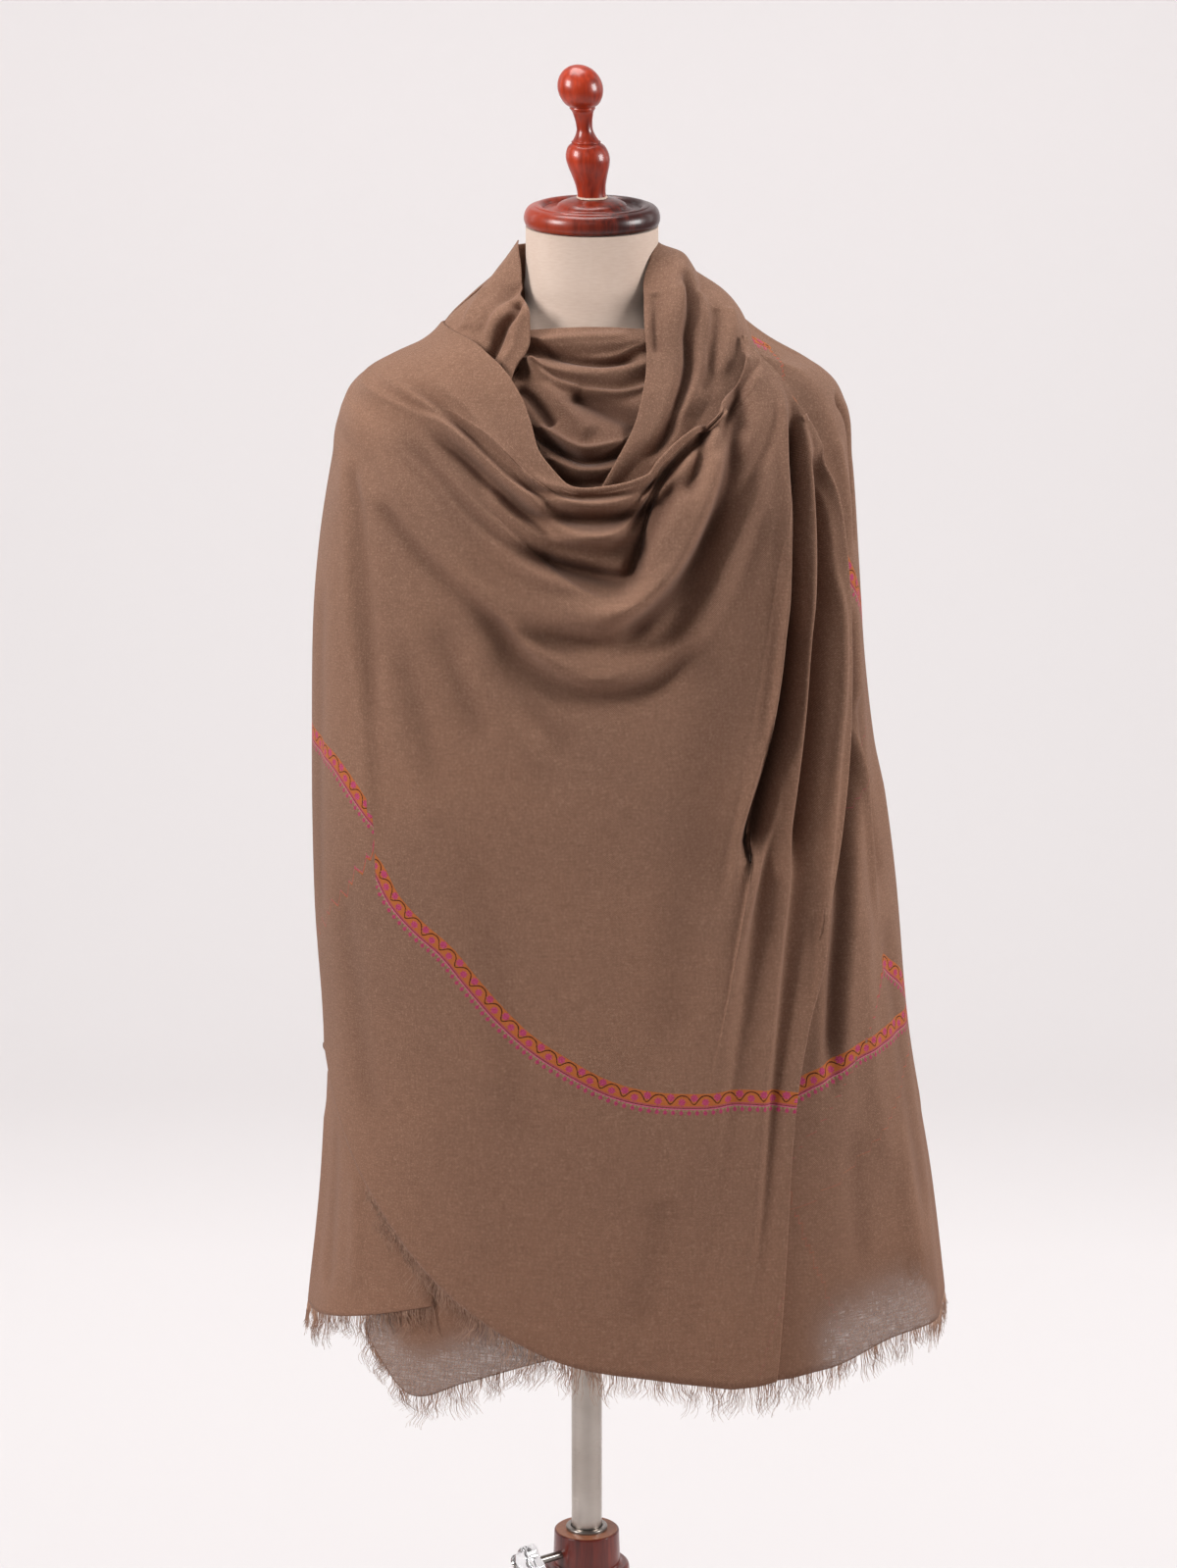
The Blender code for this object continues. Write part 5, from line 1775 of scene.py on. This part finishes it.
BACK_CREASES = (
    Crease(((118, 1440), (122, 1300), (124, 1120), (122, 940), (120, 780)), -4.0, 15.0),
    Crease(((138, 1500), (146, 1380), (150, 1200), (148, 1000), (146, 820)), 4.0, 16.0),
    Crease(((166, 1545), (170, 1420), (172, 1250), (174, 1050), (172, 860)), -4.5, 17.0),
    Crease(((196, 1540), (196, 1400), (194, 1240), (196, 1060), (200, 900)), 4.0, 17.0),
    Crease(((222, 1500), (220, 1380), (216, 1200), (214, 1000), (216, 820)), -4.0, 15.0),
    Crease(((120, 1512), (150, 1478), (180, 1466), (210, 1478), (240, 1510)), -3.5, 10.0),
    Crease(((118, 1530), (148, 1502), (180, 1492), (212, 1502), (242, 1528)), 3.0, 9.0),
    Crease(((126, 1460), (152, 1420), (178, 1405), (206, 1424), (232, 1464)), 2.6, 13.0),
)
COLLAR_RIGHT_CREASES = (
    Crease(((33, 1563), (30, 1556), (21, 1536), (15, 1517), (13, 1500)), 2.5, 5.0),
    Crease(((34, 1560), (30, 1552), (21, 1529), (15, 1505)), -4.0, 4.5),
    Crease(((44, 1562), (41, 1553), (30, 1531), (21, 1504), (17, 1482), (13, 1452), (9, 1429)), 2.5, 6.5),
    Crease(((58, 1572), (50, 1555), (34, 1529), (28, 1514), (21, 1489), (17, 1466), (14, 1446), (10, 1427)),
           -10.0, 5.0),
    Crease(((58, 1556), (49, 1543), (34, 1515), (24, 1489), (19, 1470), (15, 1455)), 4.5, 5.5),
    Crease(((56, 1540), (46, 1528), (30, 1500), (23, 1480)), -3.5, 5.0),
    Crease(((64, 1538), (56, 1527), (42, 1512), (30, 1493)), 3.0, 5.5),
)
COLLAR_LEFT_CREASES = (
    Crease(((-62, 1572), (-52, 1556), (-47, 1540), (-44, 1520)), -2.8, 6.0),
    Crease(((-56, 1582), (-46, 1560), (-41, 1540), (-39, 1518)), 2.4, 6.0),
    Crease(((-74, 1560), (-64, 1545), (-56, 1525)), 2.2, 7.0),
    Crease(((-43, 1556), (-36, 1548), (-33, 1540), (-34, 1530), (-34, 1517), (-32, 1505), (-27, 1488)),
           -9.0, 4.2),
    Crease(((-33, 1552), (-28, 1543), (-28, 1530), (-27, 1515), (-25, 1498)), 3.0, 4.0),
)
COWL_CREASES = (
    Crease(((-26, 1522), (-20, 1522), (-15, 1523), (-6, 1525), (4, 1526), (14, 1528)), 3.0, 3.5),
    Crease(((-26, 1518), (-20, 1519), (-12, 1513), (-3, 1508), (4, 1507), (14, 1512)), -9.0, 3.6),
    Crease(((-24, 1524), (-16, 1518), (-6, 1511), (3, 1511), (12, 1517), (20, 1521)), 4.0, 2.6),
    Crease(((-22, 1512), (-17, 1503), (-9, 1493), (-2, 1487), (5, 1484), (11, 1488), (18, 1496)), 7.0, 4.0),
    Crease(((-6, 1485), (-2, 1478), (3, 1469), (7, 1462), (10, 1450)), -10.0, 9.0),
    Crease(((-20, 1510), (-16, 1501), (-9, 1482), (-3, 1459), (0, 1447)), 6.0, 7.0),
    Crease(((-19, 1490), (-14, 1478), (-10, 1463), (-8, 1454)), -8.0, 5.0),
    Crease(((-12, 1456), (-9, 1450), (-5, 1441), (-1, 1437), (7, 1443), (10, 1448)), 6.0, 3.4),
    Crease(((-12, 1450), (-9, 1443), (-4, 1433), (-1, 1430), (5, 1434), (9, 1440)), -5.0, 4.0),
    Crease(((-10, 1432), (-7, 1427), (-3, 1421), (2, 1421), (7, 1426)), 5.0, 3.4),
    Crease(((-8, 1418), (-5, 1413), (-1, 1411), (4, 1413)), -6.0, 3.5),
)
UNDER_CREASES = (
    Crease(((-90, 860), (-88, 790), (-86, 700)), 2.4, 12.0),
    Crease(((-76, 850), (-73, 780), (-70, 700)), -2.6, 12.0),
    Crease(((-60, 820), (-58, 770), (-56, 715)), 2.2, 10.0),
)


@dataclass
class Shawl:
    """The whole shawl: its stretches, its border and its fringe."""

    cloth: PashminaFinish = field(default_factory=PashminaFinish)
    yarn: YarnFinish = field(default_factory=YarnFinish)
    fringe: FringeMaker = field(default_factory=FringeMaker)

    def stretches(self) -> list[Stretch]:
        """Every stretch with its sizes.

        Returns:
            The stretches, in the order in which they are built.
        """
        form, front = ("form_torso",), ("cloth_front",)
        return [
            FrontFall("cloth_front", "shawl_front_fall", (0.62, 0.72), "draped", form, FRONT_CREASES,
                      "fringe_front", 3),
            RightFall("cloth_right", "shawl_right_fall", (0.20, 0.77), "draped", form, RIGHT_CREASES,
                      "fringe_right", 5, rows=190, columns=90),
            BackFall("cloth_back", "shawl_back", (0.66, 0.76), "draped", form, BACK_CREASES,
                     "fringe_back", 7, rows=200, columns=170),
            Collar("cloth_collar_right", "shawl_collar_right", (0.07, 0.26), "gathered", form,
                   COLLAR_RIGHT_CREASES, sections=COLLAR_RIGHT, reverse=True, rows=110, columns=56),
            Collar("cloth_collar_left", "shawl_collar_left", (0.065, 0.22), "gathered", form,
                   COLLAR_LEFT_CREASES, sections=COLLAR_LEFT, rows=100, columns=56),
            NeckCowl("cloth_cowl", "shawl_neck_inner", (0.11, 0.15), "gathered", form, COWL_CREASES,
                     rows=150, columns=80),
            UnderLayer("cloth_under_left", "shawl_under_left", (0.22, 0.205), "draped", front,
                       UNDER_CREASES, "fringe_under_left", 11, hem=UNDER_HEM, rows=70, columns=80),
            UnderLayer("cloth_under_corner", "shawl_under_corner", (0.19, 0.118), "draped", front, (),
                       "fringe_under_corner", 13, hem=CORNER_HEM, first_turn=-52, last_turn=-2,
                       tuck=45, inset=2.7, sheer=1.0, rows=60, columns=70),
        ]

    def build(self) -> None:
        plain = self.cloth.build("pashmina")
        bordered = self.cloth.build("pashmina with border", border=True, sheer=True)
        loose = self.cloth.build("pashmina, loose weave", sheer=True)
        yarn = self.yarn.build()
        finishes = {FrontFall: bordered, RightFall: bordered, UnderLayer: loose}
        for stretch in self.stretches():
            made = stretch.build(finishes.get(type(stretch), plain))
            extras = [self.hang_fringe(stretch, yarn)] if stretch.fringe else []

    def hang_fringe(self, stretch: Stretch, yarn: bpy.types.Material) -> bpy.types.Object:
        """Hangs tufts from a stretch's hem.

        Args:
            stretch: the stretch above them.
            yarn: their finish.

        Returns:
            The fringe.
        """
        grid = stretch.patch().points
        normals = surface_normals(grid)
        if isinstance(stretch, FrontFall):
            shown = slice(EDGE_ROWS + FOLD_RAYS * (FIRST_HEM_FOLD + 2), -EDGE_ROWS)
            edge, outward = grid[shown, -1], normals[shown, -1]
        else:
            edge, outward = grid[0], normals[0]
        name = stretch.fringe.replace("fringe", "tufts", 1)
        made = self.fringe.tufts(name, edge, outward, stretch.seed)
        finish_piece(made, yarn, Body.FORM, [stretch.fringe])
        return made


# ---------------------------------------------------------------- the form and its stand

@dataclass(frozen=True)
class Profile:
    """A turned outline, top to bottom on the outside, as runs of (radius, height).

    Each run goes on from the end of the one before it, around a sharp edge.
    """

    runs: tuple[tuple[Pair, ...], ...]
    fine: int = 6

    def points(self) -> Array:
        """The outline's points: each run a smooth curve over its chord lengths.

        Returns:
            (radius, height) for each point.
        """
        out: list[Array] = []
        start: tuple[Pair, ...] = ()
        for run in self.runs:
            table = np.array((*start, *run), float)
            start = run[-1:]
            if len(table) < 3:
                out.append(table)
                continue
            chord = way_along(table)
            pieces = [np.linspace(a, b, self.fine, endpoint=False) for a, b in zip(chord, chord[1:])]
            at = np.concatenate(pieces + [chord[-1:]])
            out.append(curve_through(chord, table, at))
        joined = np.concatenate(out)
        keep = np.concatenate([[True], np.linalg.norm(np.diff(joined, axis=0), axis=1) > 1e-4])
        return joined[keep]

    def revolve(self, name: str, steps: int = 96) -> bpy.types.Object:
        """The outline swept round the z axis: x and y are the radius times the turn's cosine and sine.

        Args:
            name: the piece's name.
            steps: points around it.

        Returns:
            A closed object at the origin, in metres.
        """
        outline = self.points()
        turn = np.arange(steps) / steps * 2 * np.pi
        radius = np.maximum(outline[:, 0], 0)[:, None]
        grid = np.stack([radius * np.cos(turn), radius * np.sin(turn), outline[:, 1:] + 0 * turn], -1)[::-1]
        if outline[0, 0] > 1e-6:
            grid = np.concatenate([grid, grid[:1]])
        return closed_piece(name, grid, 38)


def on_axis(height: float, aside: float = 0.0) -> Matrix:
    """The place on the pole's axis at a height, moved to the right, both in millimetres."""
    return Matrix.Translation(Vector(POLE_AT)) @ Matrix.Translation((aside * MM, 0, height * MM))


@dataclass
class DressForm:
    """The linen body with its wooden cap and finial, the socket under it and the pole."""

    neck_top: float = 1607.0
    cap_tilt: float = 7.5
    finial_lean: float = 6.2
    lean_back: float = 0.8
    neck_shift: float = 4.5
    pole_radius: float = 13.5
    pole_edge: float = 0.8
    pole_bottom: float = 175.0
    torso_bottom: float = 840.0
    tilt_from: float = 1500.0
    shift_from: float = 1490.0
    shift_over: float = 50.0
    ovals: tuple[tuple[float, float, float, float], ...] = (
        (840, 120, 80, 80), (843, 146, 96, 96), (870, 162, 107, 108), (960, 172, 112, 114),
        (1060, 156, 106, 106), (1160, 128, 96, 90), (1240, 148, 108, 98), (1330, 170, 122, 104),
        (1420, 186, 106, 100), (1455, 189, 84, 88), (1482, 185.5, 72, 80), (1502, 128, 64, 70),
        (1518, 82, 60, 64), (1536, 60, 57, 60), (1560, 56, 56, 57), (1590, 55, 55, 55),
        (1607, 55, 55, 55),
    )
    cap: Profile = Profile((
        ((0, 22.5), (7, 22.5)), ((13, 22.4), (22, 20.5), (28, 17.6), (29.6, 15.6)), ((34, 13.9), (40, 14)),
        ((41.6, 16), (44.4, 17.4), (47.4, 17.2)), ((48, 16.6),),
        ((52.5, 15.2), (55.4, 11.6), (56.5, 7), (56.2, 3.6), (54.8, 1), (52, 0)), ((0, 0),)))
    finial: Profile = Profile((
        ((0, 107.4), (3.6, 107), (7, 106), (13, 102.2), (17.4, 95.7), (18.8, 88.6), (17.4, 81.5),
         (13.5, 75.5), (10.4, 73.4)), ((10.7, 72.4), (10, 71.4)),
        ((9.1, 70), (7.9, 66), (6.8, 60), (6.9, 54.5), (8.5, 50.2), (10.8, 46.4)),
        ((12.2, 45.3), (11.8, 44.2)),
        ((14.6, 42.4), (17.2, 37.8), (18.2, 32.5), (17.3, 26.4), (14.8, 18.4), (12.6, 10.2), (11.8, 4),
         (11.8, 0)), ((0, 0),)))
    glue: Profile = Profile((
        ((11.6, 1.5), (12.2, 1.2), (12.9, 0)), ((11.6, 0),)), fine=3)
    socket: Profile = Profile((
        ((14.3, 42), (38, 42)), ((38, 38),), ((24, 35), (21, 30)), ((21, 2),), ((19, 0),), ((14.3, 0),)))

    def build(self) -> None:
        """Builds the form's pieces."""
        # both lacquers carry the painted light from the left
        lacquer = WoodFinish("red lacquer", linear(190, 58, 20), linear(88, 14, 6), 0.14, 0.4,
                             painted_side_light=10.0).build()
        dark = WoodFinish("dark red lacquer", linear(150, 46, 18), linear(50, 9, 5), 0.2, 0.35,
                          painted_side_light=11.0).build()
        steel = SteelFinish().build()
        resin = new_material("dried glue", Base_Color=linear(206, 178, 160), Roughness=0.4)[0].material
        self.torso(LinenFinish().build())
        tilt = math.radians(self.cap_tilt)
        seat = on_axis(self.neck_top + SEAT_GAP, self.neck_shift) @ Matrix.Rotation(tilt, 4, "X")
        stud = seat @ Matrix.Translation((0, 0, (self.cap.runs[0][0][1] + SEAT_GAP) * MM))
        lean = Matrix.Shear("XY", 4, (-math.tan(math.radians(self.finial_lean)),
                                      math.tan(tilt) * self.lean_back))
        radius, edge = self.pole_radius, self.pole_edge
        top, bottom = self.torso_bottom - 2 * SEAT_GAP, self.pole_bottom
        tube = Profile((((0, top), (radius - edge, top)), ((radius, top - edge),), ((radius, bottom + edge),),
                        ((radius - edge, bottom),), ((0, bottom),)))
        for made, material, body, slot, nodes, where in (
                (self.cap.revolve("cap_turning"), dark, Body.FORM, Slot.LACQUER, ["neck_cap"], seat),
                (self.finial.revolve("finial_turning", 80), lacquer, Body.FORM, Slot.LACQUER, ["finial"],
                 stud @ lean),
                (self.lumpy_glue(), resin, Body.FORM, Slot.LACQUER, [], stud),
                (self.socket.revolve("socket_turning", 72), steel, Body.FORM, Slot.STEEL, ["pole_socket"],
                 on_axis(self.torso_bottom - self.socket.runs[0][0][1] - SEAT_GAP)),
                (tube.revolve("pole_tube", 72), steel, Body.POLE, Slot.STEEL, ["pole"], on_axis(0))):
            finish_piece(made, material, body, nodes, where)

    def lumpy_glue(self) -> bpy.types.Object:
        """The ring of glue under the finial, its radius swollen by two sines of the turn.

        Returns:
            The ring, at the origin.
        """
        glue = self.glue.revolve("finial_glue", 48)
        lumps = np.empty(len(glue.data.vertices) * 3)
        glue.data.vertices.foreach_get("co", lumps)
        lumps = lumps.reshape(-1, 3)
        turn = np.arctan2(lumps[:, 1], lumps[:, 0])
        swell = 0.35 * np.sin(7 * turn) + 0.3 * np.sin(11 * turn + 1.7)
        lumps[:, :2] += unit(lumps[:, :2]) * (np.maximum(swell, -0.3) * MM)[:, None]
        glue.data.vertices.foreach_set("co", lumps.ravel())
        return glue

    def torso(self, linen: bpy.types.Material) -> None:
        """The linen body: ovals lofted upwards, the neck cut square to the tilted cap.

        x is the side reach times the turn's sine, y minus the front or back reach times its cosine, and
        the height leans with y towards the neck's top.

        Args:
            linen: its finish.
        """
        table = np.array(self.ovals, float)
        levels = np.interp(np.linspace(0, 1, 260), np.linspace(0, 1, len(table)), table[:, 0])
        rows = curve_through(table[:, 0], table[:, 1:], levels)
        turn = np.arange(128) / 128 * 2 * np.pi
        share = 0.5 + 0.5 * np.cos(turn)
        side, front, back = (rows[:, k][:, None] for k in range(3))
        blend = ease((share - 0.35) / 0.3)
        x = side * np.sin(turn)
        y = -(front * blend + back * (1 - blend)) * np.cos(turn)
        lean = np.clip((levels - self.tilt_from) / (self.neck_top - self.tilt_from), 0, 1)[:, None]
        z = levels[:, None] + y * math.tan(math.radians(self.cap_tilt)) * lean
        shift = self.neck_shift * ease((levels - self.shift_from) / self.shift_over)[:, None]
        grid = np.stack([x + shift, y, z], -1)
        count = len(turn)
        quads = (len(levels) - 1) * count
        faces = grid_faces(*grid.shape[:2], wrap=True).tolist()
        faces += [list(range(count))[::-1], list(range(quads, quads + count))]
        made = make_object("torso_linen", grid.reshape(-1, 3) * MM + POLE_AT, faces)
        corners = corners_of(made.data)
        weave = np.stack([np.broadcast_to(turn * BODY_RADIUS, x.shape), z * MM], -1).reshape(-1, 2)
        wrapped = weave[corners]
        block = wrapped[:quads * 4].reshape(-1, 4, 2)
        short = block[..., 0].max(1, keepdims=True) - block[..., 0] > 0.3
        block[..., 0] += np.where(short, 2 * np.pi * BODY_RADIUS, 0)
        add_corner_map(made.data, "weave", wrapped)
        made.data.set_sharp_from_angle(angle=math.radians(50))
        finish_piece(made, linen, Body.FORM, ["form_torso"])


@dataclass
class Stand:
    """The turned hub with its raw-wood top, the sleeve, the clamp with its clear knob, the legs and feet.

    The clamp's screw and knob are given by their start and end, in millimetres from the pole's axis.
    """

    hub_top: float = 460.0
    clamp_height: float = 442.0
    clamp_turn: float = 217.0
    screw: Pair = (14.0, 56.7)
    knob: Pair = (57.0, 72.0)
    knob_radius: float = 12.5
    knob_lobes: float = 2.6
    knob_rim: float = 2.5
    leg_turns: tuple[float, ...] = (-82.5, 37.5, 157.5)
    leg_radius: float = 13.0
    leg_taper: float = 0.72
    foot_reach: float = 240.0
    hub: Profile = Profile((
        ((0, 66), (14.3, 66)), ((14.3, 459.6),), ((27.4, 459.6),), ((28.5, 459.1), (28.8, 457.8)),
        ((29.8, 430),), ((31, 428.9), (35.6, 428.3)),
        ((37.4, 426.6), (38, 424), (38.1, 417), (38, 410), (37, 407), (35, 405)),
        ((30, 399), (26, 391), (23, 375), (27, 345), (32, 315), (31, 290), (24, 258), (22, 243)),
        ((26.6, 239.4), (28, 231), (27, 223), (24, 220)), ((28, 212.6), (36, 208)), ((36, 110),),
        ((34, 92), (30, 80), (22, 58)), ((0, 55),)))
    hub_face: Profile = Profile((
        ((15, 460.2), (27, 460.2)), ((27.3, 459.9),), ((27.3, 459.7),), ((15, 459.7),)))
    sleeve: Profile = Profile((
        ((14.3, 3), (17.2, 3)), ((18, 2.7), (18.4, 2)), ((18.4, 0),), ((14.3, 0),)))
    foot: Profile = Profile((
        ((0, 10), (15, 10)), ((17.2, 9), (18, 7)), ((18, 1.5),), ((17.6, 0.4), (16.5, 0)), ((0, 0),)))
    leg_path: tuple[Pair, ...] = ((34.0, 168), (48, 168), (80, 166), (115, 152), (148, 124), (178, 88),
                                  (206, 58), (230, 38), (240, 24), (240, 10.3))

    def build(self) -> None:
        """Builds the stand's pieces."""
        mahogany = WoodFinish("mahogany", linear(132, 44, 28), linear(66, 16, 12), 0.12).build()
        raw = WoodFinish("raw wood", linear(176, 116, 84), linear(136, 82, 58), 0.5, 0.0, 30.0).build()
        steel = SteelFinish(linear(190, 184, 178), linear(120, 112, 106)).build("fitting steel")
        acrylic = AcrylicFinish().build()
        rubber = RubberFinish().build()
        bearing = math.radians(self.clamp_turn)
        outward = Vector((math.cos(bearing), math.sin(bearing), 0))
        clamp = on_axis(self.clamp_height) @ outward.to_track_quat("Z", "Y").to_matrix().to_4x4()
        middle = Matrix.Translation((0, 0, sum(self.knob) / 2 * MM))
        start, end = self.screw
        shank = Profile((((0, end), (3.2, end)), ((3.8, end - 0.6),), ((3.8, start),), ((0, start),)))
        sleeve_seat = on_axis(self.hub_top + SEAT_GAP)
        for made, material, body, slot, nodes, where in (
                (self.hub.revolve("hub_turning"), mahogany, Body.BASE, Slot.MAHOGANY, ["hub"], on_axis(0)),
                (self.hub_face.revolve("hub_end_grain"), raw, Body.BASE, Slot.MAHOGANY, [], on_axis(0)),
                (self.sleeve.revolve("sleeve_ring"), steel, Body.BASE, Slot.STEEL, ["sleeve"], sleeve_seat),
                (shank.revolve("clamp_shank", 40), steel, Body.KNOB, Slot.STEEL, ["clamp_screw"], clamp),
                (self.lobed_knob(), acrylic, Body.KNOB, Slot.ACRYLIC, ["clamp_knob"], clamp @ middle)):
            finish_piece(made, material, body, nodes, where)
        for number, degrees in enumerate(self.leg_turns, 1):
            swing = on_axis(0) @ Matrix.Rotation(math.radians(degrees), 4, "Z")
            finish_piece(self.bent_leg(f"bent_leg_{number}"), mahogany, Body.BASE,
                         [f"leg_{number}"], swing)
            toe = swing @ Matrix.Translation((self.foot_reach * MM, 0, 0))
            finish_piece(self.foot.revolve(f"foot_pad_{number}", 48), rubber, Body.BASE,
                         [f"foot_{number}"], toe)

    def lobed_knob(self) -> bpy.types.Object:
        """The clear knob around the z axis.

        Its outline's radius is the knob's own plus its lobes times the cosine of four turns; a quarter
        circle rounds it over to each flat face.

        Returns:
            The knob, at the origin.
        """
        turn = np.arange(96) / 96 * 2 * np.pi
        outline = self.knob_radius + self.knob_lobes * np.cos(4 * turn)
        rim = self.knob_rim
        flat = (self.knob[1] - self.knob[0]) / 2
        arc = np.linspace(0, np.pi / 2, 6)
        rows = [(0.0, 0.0, flat)] + [(1.0, rim * np.sin(a), flat - rim + rim * np.cos(a)) for a in arc]
        rows += [(share, grow, -height) for share, grow, height in reversed(rows)]
        rings = [((outline * share + grow) * np.cos(turn), (outline * share + grow) * np.sin(turn),
                  0 * turn + height) for share, grow, height in rows]
        return closed_piece("clear_knob", np.moveaxis(np.array(rings), 1, -1))

    def bent_leg(self, name: str) -> bpy.types.Object:
        """A leg that reaches out along x: circles carried along its bent middle line, thinner to the foot.

        Args:
            name: the piece's name.

        Returns:
            The leg, closed at both ends.
        """
        table = np.array(self.leg_path, float)
        way = way_along(table)
        line = curve_through(way, table, np.linspace(0, way[-1], 72))
        along = unit(np.gradient(line, axis=0))
        turn = np.arange(32) / 32 * 2 * np.pi
        thick = self.leg_radius * np.linspace(1, self.leg_taper, len(line))
        thick = np.concatenate([[0], thick, [0]])[:, None]
        line = np.concatenate([line[:1], line, line[-1:]])
        along = np.concatenate([along[:1], along, along[-1:]])
        grid = np.stack([line[:, :1] - along[:, 1:] * np.cos(turn) * thick, np.sin(turn) * thick,
                         line[:, 1:] + along[:, :1] * np.cos(turn) * thick], -1)
        return closed_piece(name, grid)


# ---------------------------------------------------------------- the studio

class Lamp(NamedTuple):
    """A square soft light: its place and target in metres, its side in metres and its power in watts."""

    name: str
    place: tuple[float, float, float]
    target: tuple[float, float, float]
    side: float
    power: float


@dataclass
class Studio:
    """A pale floor that rises into a backdrop, soft lights and the camera."""

    eye: tuple[float, float, float] = (-0.0329, -3.0541, 1.76)
    pitch: float = 11.4
    lens: float = 85.06
    tone: Colour = linear(234, 229, 229)
    floor_tone: Colour = linear(212, 207, 207)
    surround: Colour = (1.0, 0.985, 0.985)
    surround_light: float = 0.15
    surround_seen: float = 0.65
    wall_at: float = 3.0
    cove: float = 1.6
    wall_top: float = 7.0
    floor_front: float = -8.0
    half_width: float = 9.0
    lamps: tuple[Lamp, ...] = (
        Lamp("key", (-3.0, -1.45, 3.0), (0, 0, 1.15), 1.4, 128.0),
        Lamp("side", (3.0, -0.65, 2.5), (0, 0, 1.15), 1.3, 92.0),
        Lamp("front", (-0.3, -2.8, 3.3), (0, 0, 1.15), 1.2, 3.0),
        Lamp("top", (-0.3, 0.2, 3.8), (0, 0, 1.15), 1.6, 52.0),
        Lamp("wash_left", (-2.4, 1.6, 2.6), (0, 4.6, 1.9), 2.0, 29.0),
        Lamp("wash_right", (2.4, 1.6, 2.6), (0, 4.6, 1.9), 2.0, 31.0),
        Lamp("wash_floor", (0, 1.2, 4.2), (0, 1.6, 0), 2.5, 4.0),
    )

    def build(self) -> None:
        """Sets the stage."""
        self.backdrop()
        self.lights()
        camera = bpy.data.cameras.new("camera")
        camera.lens = self.lens
        camera.sensor_width = 36.0
        camera.sensor_fit = "AUTO"
        made = bpy.data.objects.new("camera", camera)
        made.location = self.eye
        made.rotation_euler = (math.radians(90 - self.pitch), 0, 0)
        bpy.context.scene.collection.objects.link(made)
        bpy.context.scene.camera = made
        bpy.context.scene.view_settings.view_transform = "Standard"

    def backdrop(self) -> None:
        """A floor with a quarter-round cove into a wall behind, carried along x.

        Its colour changes from floor to wall with y, and it can't be seen from behind.
        """
        arc = np.linspace(0, np.pi / 2, 25)
        bend = np.stack([self.wall_at + self.cove * np.sin(arc), self.cove * (1 - np.cos(arc))], -1)
        line = np.concatenate([[(self.floor_front, 0.0)], bend, [(self.wall_at + self.cove, self.wall_top)]])
        x = np.array((-self.half_width, self.half_width))
        grid = np.stack(np.broadcast_arrays(x[:, None], line[:, 0], line[:, 1]), -1)
        faces = grid_faces(*grid.shape[:2])[:, ::-1]
        made = make_object("backdrop", grid.reshape(-1, 3), faces)
        board, shader = new_material("paper", Roughness=0.95)
        depth = board.parts(board.place())[1]
        far = board.share(depth, 0.6, -0.3)
        board.feed(shader, Base_Color=board.mix(far, self.floor_tone, self.tone))
        behind = board.add("ShaderNodeNewGeometry").outputs["Backfacing"]
        board.feed(shader, Alpha=board.minus(1.0, behind))
        made.data.materials.append(board.material)

    def lights(self) -> None:
        """The soft lights, and a surround that the camera sees brighter than it shines."""
        world = bpy.data.worlds.new("surround")
        world.use_nodes = True
        board = Board(world.node_tree)
        seen = board.add("ShaderNodeLightPath").outputs["Is Camera Ray"]
        board.feed(world.node_tree.nodes["Background"], Color=self.surround,
                   Strength=board.line(seen, self.surround_seen, self.surround_light))
        bpy.context.scene.world = world
        for lamp in self.lamps:
            data = bpy.data.lights.new(lamp.name, "AREA")
            data.size = lamp.side
            data.energy = lamp.power
            made = bpy.data.objects.new(lamp.name, data)
            made.location = lamp.place
            aim = Vector(lamp.target) - Vector(lamp.place)
            made.rotation_euler = aim.to_track_quat("-Z", "Y").to_euler()
            made.visible_camera = False
            bpy.context.scene.collection.objects.link(made)


def main() -> None:
    """Builds the pieces in order."""
    logging.basicConfig(level=logging.INFO, format="%(message)s")
    Studio().build()
    Shawl().build()
    DressForm().build()
    Stand().build()


if __name__ == "__main__":
    main()
